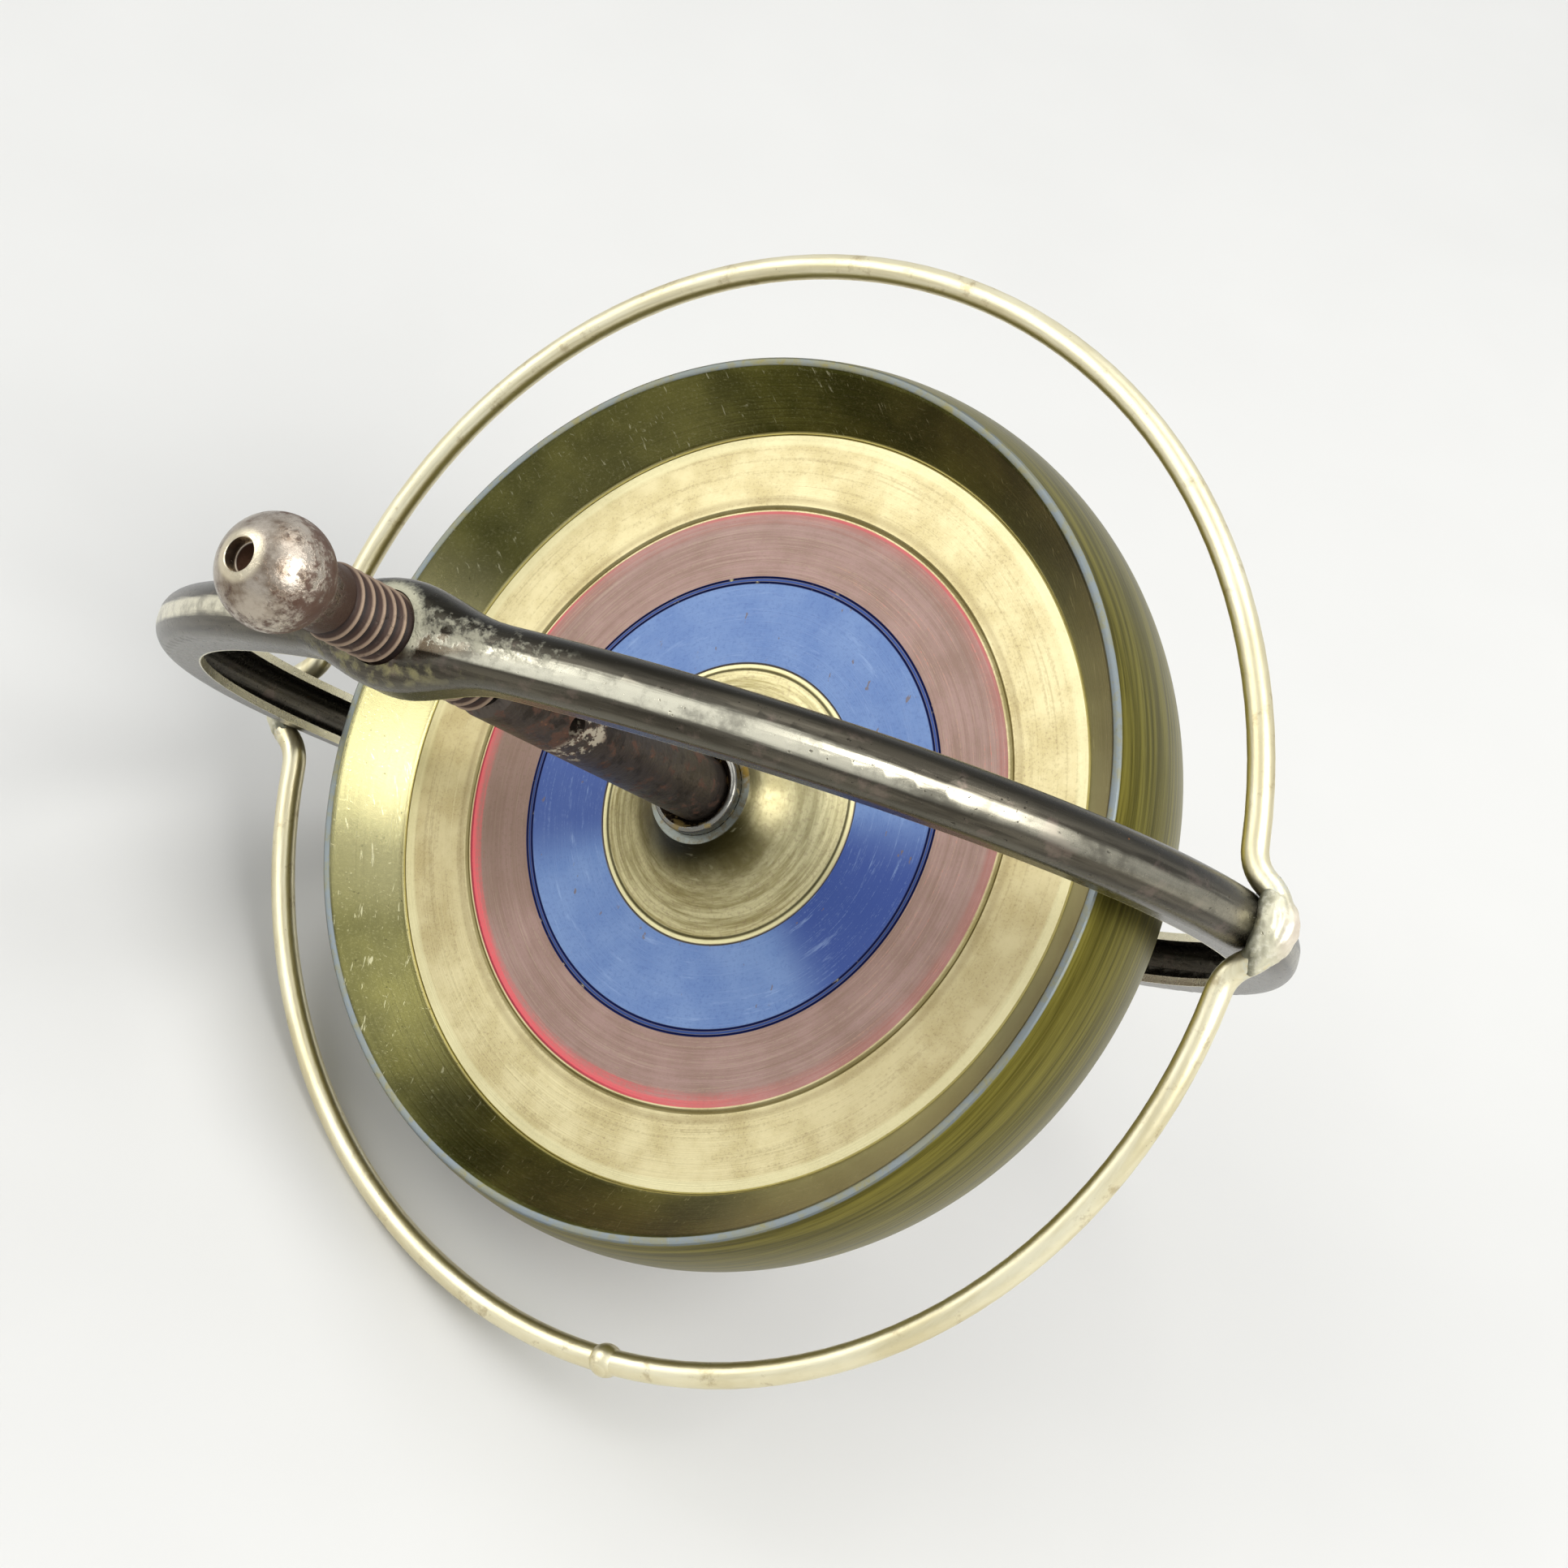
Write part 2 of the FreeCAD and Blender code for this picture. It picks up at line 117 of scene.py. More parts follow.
class Finish:  # a material in the making
    def __init__(self, name):
        self.material = bpy.data.materials.new(name)
        self.material.use_nodes = True
        self.tree = self.material.node_tree
        self.tree.nodes.clear()
        self.colour = rgb(128, 128, 128)
        # place on the gyroscope, in its own axes and in millimetres
        table = self.node("ShaderNodeTexCoord", output="Object")
        self.own = self.node("ShaderNodeMapping", {"vector_type": "TEXTURE"},
                             {"Vector": table, "Location": centre,
                              "Rotation": turnToTable.to_euler(), "Scale": (mm, mm, mm)})
        self.x, self.y, self.z = self.split(self.own)

    def node(self, kind, settings=None, inputs=None, output=0):
        made = self.tree.nodes.new(kind)
        for key, value in (settings or {}).items():
            setattr(made, key, value)
        for key, value in (inputs or {}).items():
            if isinstance(value, Signal):
                self.tree.links.new(value.socket, made.inputs[key])
            else:
                made.inputs[key].default_value = value
        return Signal(self, made.outputs[output]) if len(made.outputs) else None

    def split(self, vector):
        parts = self.node("ShaderNodeSeparateXYZ", None, {"Vector": vector})
        return [Signal(self, output) for output in parts.socket.node.outputs]

    def join(self, x, y, z):
        return self.node("ShaderNodeCombineXYZ", None, {"X": x, "Y": y, "Z": z})

    def noise(self, place, scale, detail=3.0, roughness=0.55, wander=0.0):
        values = {"Vector": place, "Scale": scale, "Detail": detail,
                  "Roughness": roughness, "Distortion": wander}
        return self.node("ShaderNodeTexNoise", None, values)

    def patches(self, *row):  # noise that keeps its place on the gyroscope
        return self.noise(self.own, *row)

    def ease(self, value, low, high, most=None):  # 0 below low, 1 or the most above high
        eased = self.node("ShaderNodeMapRange", {"interpolation_type": "SMOOTHSTEP"},
                          {"Value": value, "From Min": low, "From Max": high})
        return eased if most is None else eased * most

    def fade(self, value, low, high, most=None):  # the other way round, 0 above high
        faded = 1 - self.ease(value, low, high)
        return faded if most is None else faded * most

    def band(self, value, low, high, soft, most=None):
        inside = self.ease(value, low - soft, low + soft) * self.fade(value, high - soft, high + soft)
        return inside if most is None else inside * most

    def near(self, offset, reach, low, high):  # 1 where the offset is nought, 0 well past the reach
        share = offset / reach
        return self.fade(share * share, low, high)

    def mix(self, mask, first, second):  # sockets 0, 6, 7 and 2 are Mix's colour ones
        return self.node("ShaderNodeMix", {"data_type": "RGBA"}, {0: mask, 6: first, 7: second}, 2)

    def lay(self, mask, colour):  # lays a colour over what is there, where the mask is 1
        self.colour = self.mix(mask, self.colour, colour)

    def bump(self, height, depth):  # depth in metres for a height of 1
        return self.node("ShaderNodeBump", None, {"Height": height, "Distance": depth, "Strength": 1.0})

    def surface(self, roughness, metallic, height=None, depth=0.0):
        values = {"Base Color": self.colour, "Roughness": roughness, "Metallic": metallic}
        if height is not None:
            values["Normal"] = self.bump(height, depth)
        shader = self.node("ShaderNodeBsdfPrincipled", None, values)
        self.node("ShaderNodeOutputMaterial", None, {"Surface": shader})
        return self.material


class TurnedFinish(Finish):  # a finish that follows lathe work round the spindle
    latheNoise = (1.0, 4.0, 0.7)
    wholeShare = 0.35  # how much of a side's spread is at full strength

    def __init__(self, name):
        super().__init__(name)
        self.radius = (self.x * self.x + self.y * self.y + offAxis).root()
        self.across = self.x / self.radius
        self.up = self.y / self.radius

    def around(self, along, other):  # a place for marks that run round the spindle
        return self.join(self.across * along, self.up * along, other)

    def lines(self, fineness, along):  # lathe marks
        marks = self.around(along, (self.radius + self.z) * fineness)
        return self.noise(marks, *self.latheNoise)

    def toward(self, degrees, spread, most=None):  # 1 on one side of the spindle, 0 away from it
        angle = math.radians(degrees)
        likeness = self.across * math.cos(angle) + self.up * math.sin(angle)
        whole = math.cos(math.radians(spread * self.wholeShare))
        return self.ease(likeness, math.cos(math.radians(spread)), whole, most)

    def sides(self, rows):  # several sides together: degrees, spread and strength of each
        total = self.toward(*rows[0])
        for row in rows[1:]:
            total = total + self.toward(*row)
        return total


cameraSet = {
    "place": Vector((83.08, -81.82, 144.51)) * mm,
    "right": Vector((0.4985, 0.8263, 0.2626)),
    "up": Vector((-0.7121, 0.2174, 0.6675)),
    "lens": 65.31,
    "sensor": 36.0,
    "nearest": 0.005,
}


def addCamera():
    data = bpy.data.cameras.new("camera")
    data.lens = cameraSet["lens"]
    data.sensor_width = cameraSet["sensor"]
    data.clip_start = cameraSet["nearest"]
    camera = bpy.data.objects.new("camera", data)
    right = cameraSet["right"].normalized()
    back = right.cross(cameraSet["up"]).normalized()
    turn = Matrix((right, back.cross(right), back)).transposed()
    camera.matrix_world = Matrix.Translation(cameraSet["place"]) @ turn.to_4x4()
    bpy.context.scene.collection.objects.link(camera)
    bpy.context.scene.camera = camera


floorSet = {
    "reach": 3.0, "roughness": 0.8, "patches": (0.05, 2.0),
    "colour": rgb(226, 225, 221), "shade": rgb(220, 219, 215),
}


def addFloor():
    form = bmesh.new()
    bmesh.ops.create_grid(form, x_segments=1, y_segments=1, size=floorSet["reach"])
    finish = Finish("pale_floor")
    patches = finish.patches(*floorSet["patches"])
    finish.colour = finish.mix(patches, floorSet["colour"], floorSet["shade"])
    floor = asObject(form, "floor", finish.surface(floorSet["roughness"], 0.0))


lampSet = {
    # name: direction from the gyroscope, distance and width in metres, power in watts
    "key": ((0.68, 0.12, 0.72), 0.60, 0.46, 3.1),
    "fill": ((-0.55, -0.60, 0.58), 0.80, 0.70, 2.2),
    "top": ((-0.15, 0.35, 0.92), 0.80, 0.60, 1.6),
}


def addLights():
    for name, (direction, distance, width, power) in lampSet.items():
        data = bpy.data.lights.new(name, "AREA")
        data.shape = "DISK"
        data.size = width
        data.energy = power
        lamp = bpy.data.objects.new(name, data)
        toward = Vector(direction).normalized()
        lamp.location = centre + toward * distance
        lamp.rotation_euler = toward.to_track_quat("Z", "Y").to_euler()
        bpy.context.scene.collection.objects.link(lamp)


worldSet = {"colour": (0.93, 0.96, 1.0, 1.0), "seen": 1.0, "light": 0.42}


def addWorld():  # a plain pale surround, dimmer as a light than it looks
    world = bpy.data.worlds.new("surround")
    bpy.context.scene.world = world
    world.use_nodes = True
    tree = world.node_tree
    background = tree.nodes["Background"]
    background.inputs["Color"].default_value = worldSet["colour"]
    path = tree.nodes.new("ShaderNodeLightPath")
    seen = path.outputs["Is Camera Ray"]
    for ray in ("Is Glossy Ray", "Is Transmission Ray"):
        both = tree.nodes.new("ShaderNodeMath")
        both.operation = "MAXIMUM"
        tree.links.new(seen, both.inputs[0])
        tree.links.new(path.outputs[ray], both.inputs[1])
        seen = both.outputs[0]
    strength = tree.nodes.new("ShaderNodeMapRange")
    strength.inputs["To Min"].default_value = worldSet["light"]
    strength.inputs["To Max"].default_value = worldSet["seen"]
    tree.links.new(seen, strength.inputs["Value"])
    tree.links.new(strength.outputs[0], background.inputs["Strength"])


def asObject(form, name, material):
    mesh = bpy.data.meshes.new(name)
    for face in form.faces:
        face.smooth = True
    form.to_mesh(mesh)
    form.free()
    mesh.materials.append(material)
    piece = bpy.data.objects.new(name, mesh)
    bpy.context.scene.collection.objects.link(piece)
    return piece


def asPiece(form, name, material):  # lays the finished form down on the table
    bmesh.ops.transform(form, matrix=toTable, verts=form.verts)
    return asObject(form, name, material)


def turned(form, points, steps, sharp):  # turns an outline of (radius, height) round the spindle
    corners = [form.verts.new((radius, 0, height)) for radius, height in points]
    edges = [form.edges.new(pair) for pair in zip(corners, corners[1:])]
    bmesh.ops.spin(form, geom=corners + edges, cent=(0, 0, 0), axis=(0, 0, 1),
                   angle=math.tau, steps=steps, use_merge=True)
    bmesh.ops.remove_doubles(form, verts=form.verts, dist=mergeWithin)
    bmesh.ops.recalc_face_normals(form, faces=form.faces)
    markSharp(form, sharp)


def markSharp(form, sharp):
    for edge in form.edges:
        if len(edge.link_faces) == 2 and edge.calc_face_angle(0) > math.radians(sharp):
            edge.smooth = False


def coat(node, material):  # gives a CAD node its finish
    for slot in frame["nodes"][node].material_slots:
        slot.material = material


addCamera()
addFloor()
addLights()
addWorld()
print("camera, floor and lights ready")


# In the dictionaries below a row for noise is fineness, detail, roughness and wander. A row for
# ease or fade is from, to and the most it covers, and one for band has the softness of its edges
# before the last. A row for a side is degrees round the spindle, spread and the most.

rimSet = {
    # shape in millimetres, with heights from the middle of the rim
    "middle": -0.8, "halfThick": 4.64, "edge": 26.2, "slopeTop": 25.75, "bulge": 0.85,
    "ridge": 22.86, "face": 0.8, "tongue": 21.46, "gap": 0.3, "lipRound": 0.08,
    "slopeSteps": 12, "barrelSteps": 18, "turns": 300, "sharp": 30.0,
    "slopeDark": rgb(60, 59, 22), "slopeMid": rgb(94, 91, 42), "slopeLit": rgb(158, 152, 112),
    "barrelDark": rgb(86, 80, 26), "barrelLit": rgb(130, 122, 54), "streak": rgb(60, 55, 16),
    "wornEdge": rgb(116, 124, 128), "edgeStain": rgb(128, 122, 84),
    "ridgeGlint": rgb(216, 208, 156), "scratch": rgb(206, 202, 168), "spot": rgb(40, 36, 14),
    "latheLines": (3.0, 1.2), "broad": (0.16, 3.0), "speck": (2.6, 2.0), "dust": (6.0, 3.0, 0.7),
    # below: how the slope's painted reflection fades toward the outer edge, and the sides of the slope
    # it is painted on
    "midBrass": (0.35, 0.7), "reflectionEdgeFade": (23.0, 26.0, 0.25), "onRidge": (23.0, 22.9, 0.9),
    "paintedReflectionSides": ((180, 32, 0.85), (10, 34, 0.40), (212, 40, 0.20),
                 (128, 30, 0.12), (314, 26, 0.70), (342, 34, 0.45)),
    "litMost": 0.95,
    "brushStretch": (0.5, 3.2, 2.0), "brush": (2.2, 6.0, 0.75, 0.6), "brushed": (0.60, 0.68),
    "brushLit": 0.5, "brushLeast": 0.22, "brushHeight": 0.4,
    "hairStretch": (5.0, 2.0, 0.5), "hair": (1.0, 3.0, 0.6, 0.4), "hairs": (0.66, 0.70, 0.35),
    "dusty": (0.52, 0.70, 0.2), "spots": (0.70, 0.76, 0.55),
    "outside": (26.17, 26.22), "barrelMix": (0.35, 0.66),
    "dragAlong": 3.0, "dragUp": 4.5, "drag": (1.0, 6.0, 0.7), "streaks": (0.52, 0.68, 0.55),
    "land": (25.74, 26.22, 0.03), "landSpeck": 0.4, "landWhole": (0.30, 0.55), "landMost": 0.9,
    "stain": (0.35, 4.0), "stained": (0.44, 0.60, 0.4),
    "fineStain": (1.3, 4.0, 0.7), "fineStained": (0.50, 0.60, 0.4), "stainSide": (100, 60, 0.2),
    "gloss": 0.17, "lineGloss": 0.10, "outsideGloss": 0.12, "broadGloss": 0.06, "landGloss": 0.15,
    "depth": 0.000016,
}


def rimFinish():
    finish = TurnedFinish("rim_brass")
    look = rimSet
    radius = finish.radius
    lines = finish.lines(*look["latheLines"])
    broad = finish.patches(*look["broad"])
    speck = finish.patches(*look["speck"])

    # the mirror-like slope of the dish: dark brass with its reflections painted in, lighter toward the
    # listed sides and less so by the outer edge
    finish.colour = finish.mix(finish.ease(broad, *look["midBrass"]),
                               look["slopeDark"], look["slopeMid"])
    paintedReflection = finish.sides(look["paintedReflectionSides"])
    finish.lay(paintedReflection * (look["litMost"] - finish.ease(radius, *look["reflectionEdgeFade"])), look["slopeLit"])
    finish.lay(finish.ease(radius, *look["onRidge"]), look["ridgeGlint"])
    alongX, alongY, alongZ = look["brushStretch"]
    brushed = finish.noise(finish.join(finish.x * alongX, finish.y * alongY, finish.z * alongZ),
                           *look["brush"])
    # the scratches show more where the reflection is painted lighter
    strength = paintedReflection * look["brushLit"] + look["brushLeast"]
    finish.lay(finish.ease(brushed, *look["brushed"]) * strength, look["scratch"])
    alongX, slant, alongY = look["hairStretch"]
    hair = finish.join(finish.x * alongX + finish.y * slant, finish.y * alongY, finish.z)
    finish.lay(finish.ease(finish.noise(hair, *look["hair"]), *look["hairs"]), look["scratch"])
    finish.lay(finish.ease(finish.patches(*look["dust"]), *look["dusty"]), look["slopeLit"])
    finish.lay(finish.ease(speck, *look["spots"]), look["spot"])

    # the barrelled outside
    onOutside = finish.ease(radius, *look["outside"])
    outside = finish.mix(finish.ease(lines, *look["barrelMix"]), look["barrelDark"], look["barrelLit"])
    drag = finish.noise(finish.around(look["dragAlong"], finish.z * look["dragUp"]), *look["drag"])
    outside = finish.mix(finish.ease(drag, *look["streaks"]), outside, look["streak"])
    finish.lay(onOutside, outside)

    # the worn land between them
    whole = finish.ease(broad + speck * look["landSpeck"], *look["landWhole"])
    land = finish.band(radius, *look["land"]) * whole
    worn = finish.ease(finish.patches(*look["stain"]), *look["stained"])
    worn = worn + finish.ease(finish.patches(*look["fineStain"]), *look["fineStained"])
    worn = worn + finish.toward(*look["stainSide"])
    finish.lay(land * look["landMost"], finish.mix(worn, look["wornEdge"], look["edgeStain"]))
    roughness = look["gloss"] + lines * look["lineGloss"] + onOutside * look["outsideGloss"]
    roughness = roughness + broad * look["broadGloss"] + land * look["landGloss"]
    return finish.surface(roughness, 1.0, lines + brushed * look["brushHeight"], look["depth"])


def makeRim():
    half = rimSet["halfThick"]
    edge = rimSet["edge"]
    face = rimSet["face"]
    ridge = rimSet["ridge"]
    slopeTop = rimSet["slopeTop"]
    soft = rimSet["lipRound"]
    gap = rimSet["gap"]
    upper = [(rimSet["tongue"], gap), (ridge, gap), (ridge, face - soft),
             (ridge + soft / 2, face + soft / 2)]
    steps = rimSet["slopeSteps"]
    for step in range(1, steps):
        share = step / steps
        upper.append((ridge + (slopeTop - ridge) * share, face + (half - face) * share))
    upper += [(slopeTop - soft / 2, half - soft / 2), (slopeTop + soft / 2, half), (edge - soft, half)]
    bulge = rimSet["bulge"]
    barrel = (half ** 2 + bulge ** 2) / (2 * bulge)  # radius of the barrelled outside
    outside = []
    steps = rimSet["barrelSteps"]
    for step in range(steps + 1):
        level = (half - soft) * (1 - 2 * step / steps)
        outside.append((edge + bulge - barrel + math.sqrt(barrel ** 2 - level ** 2), level))
    lower = [(radius, -height) for radius, height in reversed(upper)]
    outline = upper + outside + lower + upper[:1]
    form = bmesh.new()
    turned(form, [(radius, height + rimSet["middle"]) for radius, height in outline],
           rimSet["turns"], rimSet["sharp"])
    piece = asPiece(form, "turned_rim", rimFinish())
    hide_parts("wheel_rim")
    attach(piece, "rotor")


discSet = {
    # shape in millimetres, with heights from the middle of the rim
    "middle": rimSet["middle"], "face": 0.8, "sheet": 0.5, "edge": 22.84, "hole": 2.77,
    "foot": 8.4, "rise": 3.1, "bendSteps": 24, "turns": 300, "edgeRound": 0.08, "sharp": 24.0,
    # middle, half width and depth of each fine groove
    "grooves": ((8.5, 0.07, 0.05), (13.5, 0.06, 0.03), (13.82, 0.06, 0.03), (18.2, 0.15, 0.1)),
    "latheLines": (3.4, 1.2), "fineLines": (13.0, 2.5), "cloud": (0.30, 5.0, 0.6),
    "grain": (4.5, 4.0, 0.7), "mottled": (0.48, 0.66), "freckleAndDarkReflection": rgb(120, 98, 80),
    # the bare brass face
    "brass": rgb(198, 186, 144), "brassDeep": rgb(178, 164, 120), "brassMix": (0.35, 0.68),
    "tarnishAndDarkReflection": rgb(128, 112, 78), "tarnishShare": 0.65, "tarnished": (0.52, 0.62, 0.32),
    "brassDarkReflectionSides": ((335, 40, 0.25), (195, 34, 0.22)), "tarnishRing": (18.5, 18.9, 0.15, 0.35),
    "fineMarks": (0.62, 0.72, 0.2), "freckleNoise": (7.0, 3.0, 0.6), "freckled": (0.54, 0.66),
    "freckleCloud": (0.36, 0.60), "freckleMost": 0.35,
    "brassLit": rgb(208, 202, 160), "litRing": (22.15, 22.95, 0.14, 0.5),
    "grooveDirt": rgb(112, 100, 52), "dirtRing": (18.08, 18.34, 0.06, 0.65),
    # the red ring
    "red": rgb(162, 132, 122), "redWorn": rgb(142, 114, 100), "redShare": 0.5, "redMix": (0.38, 0.62),
    "redPale": rgb(196, 176, 150), "paleShare": 0.6, "redMarks": (0.50, 0.62, 0.35),
    "redDarkReflectionSide": (185, 40, 0.5), "redMottle": 0.25, "raggedLines": 1.6, "raggedGrain": 0.7,
    "redGlow": rgb(222, 96, 100), "glowing": (16.9, 17.9), "glowSide": (232, 74, 0.85),
    "glowLeast": 0.18,
    "redLine": rgb(216, 70, 84), "lineEdge": (17.72, 17.86),
    "lineSides": ((205, 80, 0.8), (75, 50, 0.5)),
    "redDeep": rgb(122, 34, 44), "deepShare": 0.1, "deepRing": (17.84, 17.96, 0.03),
    "deepSide": (215, 70), "deepMost": 0.8,
    "glints": (0.60, 0.66), "glintSide": (20, 75), "glintGrain": (0.45, 0.6), "glintMost": 0.6,
    "onRed": (13.88, 17.96, 0.03),
    # the blue ring and the dark lines round it
    "blue": rgb(98, 128, 180), "blueSoft": rgb(116, 144, 190), "blueMix": (0.3, 0.7),
    "royal": rgb(32, 60, 136), "blueDarkReflectionSides": ((338, 32), (182, 30, 0.85)), "blueDarkReflectionMost": 0.88,
    "bluePale": rgb(148, 172, 210), "blueShare": 0.55, "blueMarks": (0.53, 0.64, 0.35),
    "blueMottle": 0.22, "streakAlong": 3.0, "streakOut": 2.2, "streak": (1.0, 5.0, 0.7),
    "streaks": (0.58, 0.70, 0.45),
    "scar": rgb(118, 98, 78), "scarStretch": 0.45, "scarNoise": (1.7, 4.0), "scars": (0.67, 0.71),
    "scarMost": 0.75, "onBlue": (8.55, 13.45, 0.03),
    "navy": rgb(14, 22, 66), "betweenLines": rgb(52, 68, 114), "lineNoise": (1.1, 4.0),
    "lineWhole": (0.26, 0.36), "between": (13.58, 13.74, 0.02),
    "darkLines": ((13.74, 13.90, 0.025), (13.42, 13.58, 0.025)),
    # the trumpet that rises to the hub
    "trumpet": rgb(194, 184, 140), "trumpetDeep": rgb(140, 129, 86), "trumpetMix": (0.34, 0.66),
    "trumpetLit": rgb(238, 234, 196), "trumpetSide": (20, 60, 0.12), "trumpetMottle": 0.3,
    "trumpetDark": rgb(40, 36, 14), "trumpetShadeSide": (285, 95), "trumpetShadeFoot": (3.4, 6.4), "trumpetShadeMost": 0.95,
    "neckShade": (3.3, 4.1, 0.7), "neckLip": rgb(132, 136, 128), "neckStain": rgb(112, 92, 44),
    "stainSide": (50, 40, 0.7), "stainNoise": (1.6, 4.0, 0.7), "stained": (0.46, 0.60, 0.5),
    "onLip": (3.22, 3.30), "trumpetMarks": (0.60, 0.72, 0.15), "onTrumpet": (8.36, 8.42),
    "footLine": (8.04, 8.20, 0.05, 0.85), "footPale": rgb(222, 215, 168),
    "footRing": (8.24, 8.42, 0.04, 0.6), "footEdge": (8.46, 8.56, 0.03, 0.8),
    # paint is duller and less metallic than the brass
    "redPaint": 0.75, "gloss": 0.34, "paintGloss": 0.08, "grainGloss": 0.12, "paintMetal": 0.75,
    "lineHeight": 0.5, "grainHeight": 0.15, "depth": 0.000016,
}


class DiscFinish(TurnedFinish):  # the noises that the disc's rings share
    def __init__(self):
        super().__init__("painted_disc")
        self.lathe = self.lines(*discSet["latheLines"])
        self.fine = self.lines(*discSet["fineLines"])
        self.cloud = self.patches(*discSet["cloud"])
        self.grain = self.patches(*discSet["grain"])

    def mottle(self, most):
        return self.ease(self.grain, *discSet["mottled"], most)


def layBrassFace(finish):
    look = discSet
    radius = finish.radius
    finish.colour = finish.mix(finish.ease(finish.cloud, *look["brassMix"]),
                               look["brass"], look["brassDeep"])
    marks = blend(finish.lathe, look["tarnishShare"], finish.grain)
    finish.lay(finish.ease(marks, *look["tarnished"]), look["tarnishAndDarkReflection"])
    # painted dark reflection: the brass face darker on two sides of the spindle, in the same colour as
    # the real tarnish
    finish.lay(finish.sides(look["brassDarkReflectionSides"]), look["tarnishAndDarkReflection"])
    finish.lay(finish.ease(finish.fine, *look["fineMarks"]), look["trumpetLit"])
    freckles = finish.ease(finish.patches(*look["freckleNoise"]), *look["freckled"])
    freckles = freckles * finish.ease(finish.cloud, *look["freckleCloud"])
    finish.lay(freckles * look["freckleMost"], look["freckleAndDarkReflection"])
    finish.lay(finish.band(radius, *look["litRing"]), look["brassLit"])
    finish.lay(finish.band(radius, *look["tarnishRing"]), look["tarnishAndDarkReflection"])
    finish.lay(finish.band(radius, *look["dirtRing"]), look["grooveDirt"])


def layRedRing(finish):
    look = discSet
    radius = finish.radius
    under = finish.colour
    marks = blend(finish.cloud, look["redShare"], finish.lathe)
    finish.colour = finish.mix(finish.ease(marks, *look["redMix"]), look["red"], look["redWorn"])
    marks = blend(finish.fine, look["paleShare"], finish.grain)
    finish.lay(finish.ease(marks, *look["redMarks"]), look["redPale"])
    # one side of the red ring painted darker as a painted dark reflection, on top of real mottled dirt
    dirt = finish.toward(*look["redDarkReflectionSide"]) + finish.mottle(look["redMottle"])
    finish.lay(dirt, look["freckleAndDarkReflection"])
    ragged = radius + swing(finish.lathe, look["raggedLines"])
    ragged = ragged + swing(finish.grain, look["raggedGrain"])
    glow = finish.toward(*look["glowSide"]) + look["glowLeast"]
    finish.lay(finish.ease(ragged, *look["glowing"]) * glow, look["redGlow"])
    line = finish.ease(radius, *look["lineEdge"]) * finish.sides(look["lineSides"])
    finish.lay(line, look["redLine"])
    deep = finish.band(blend(ragged, look["deepShare"], radius), *look["deepRing"])
    finish.lay(deep * finish.toward(*look["deepSide"]) * look["deepMost"], look["redDeep"])
    glints = finish.ease(finish.fine, *look["glints"]) * finish.toward(*look["glintSide"])
    glints = glints * finish.ease(finish.grain, *look["glintGrain"])
    finish.lay(glints * look["glintMost"], look["redGlow"])
    onRed = finish.band(radius, *look["onRed"])
    finish.colour = finish.mix(onRed, under, finish.colour)
    return onRed


def layBlueRing(finish):
    look = discSet
    radius = finish.radius
    under = finish.colour
    finish.colour = finish.mix(finish.ease(finish.cloud, *look["blueMix"]),
                               look["blue"], look["blueSoft"])
    # painted dark reflection: deep royal blue on two sides of the spindle
    finish.lay(finish.sides(look["blueDarkReflectionSides"]) * look["blueDarkReflectionMost"], look["royal"])
    marks = blend(finish.fine, look["blueShare"], finish.grain)
    finish.lay(finish.ease(marks, *look["blueMarks"]), look["bluePale"])
    finish.lay(finish.mottle(look["blueMottle"]), look["royal"])
    drawn = finish.around(look["streakAlong"], radius * look["streakOut"])
    streaks = finish.noise(drawn, *look["streak"])
    finish.lay(finish.ease(streaks, *look["streaks"]), look["bluePale"])
    scars = finish.noise(finish.join(finish.x, finish.y * look["scarStretch"], finish.z),
                         *look["scarNoise"])
    finish.lay(finish.ease(scars, *look["scars"]) * look["scarMost"], look["scar"])
    onBlue = finish.band(radius, *look["onBlue"])
    finish.colour = finish.mix(onBlue, under, finish.colour)
    whole = finish.ease(finish.patches(*look["lineNoise"]), *look["lineWhole"])
    finish.lay(finish.band(radius, *look["between"]), look["betweenLines"])
    for row in look["darkLines"]:
        finish.lay(finish.band(radius, *row) * whole, look["navy"])
    return onBlue


def layTrumpet(finish):
    look = discSet
    radius = finish.radius
    under = finish.colour
    finish.colour = finish.mix(finish.ease(finish.lathe, *look["trumpetMix"]),
                               look["trumpet"], look["trumpetDeep"])
    finish.lay(finish.toward(*look["trumpetSide"]), look["trumpetLit"])
    finish.lay(finish.mottle(look["trumpetMottle"]), look["freckleAndDarkReflection"])
    # painted shade on one side of the trumpet, strongest by the neck and gone toward its foot
    paintedShade = finish.toward(*look["trumpetShadeSide"]) * finish.fade(radius, *look["trumpetShadeFoot"])
    finish.lay(paintedShade * look["trumpetShadeMost"], look["trumpetDark"])
    finish.lay(finish.fade(radius, *look["neckShade"]), look["trumpetDark"])
    stained = finish.toward(*look["stainSide"])
    stained = stained + finish.ease(finish.patches(*look["stainNoise"]), *look["stained"])
    lip = finish.mix(stained, look["neckLip"], look["neckStain"])
    finish.lay(finish.fade(radius, *look["onLip"]), lip)
    finish.lay(finish.ease(finish.fine, *look["trumpetMarks"]), look["trumpetLit"])
    finish.colour = finish.mix(finish.fade(radius, *look["onTrumpet"]), under, finish.colour)
    for ring, colour in (("footLine", "trumpetDark"), ("footRing", "footPale"), ("footEdge", "navy")):
        finish.lay(finish.band(radius, *look[ring]), look[colour])


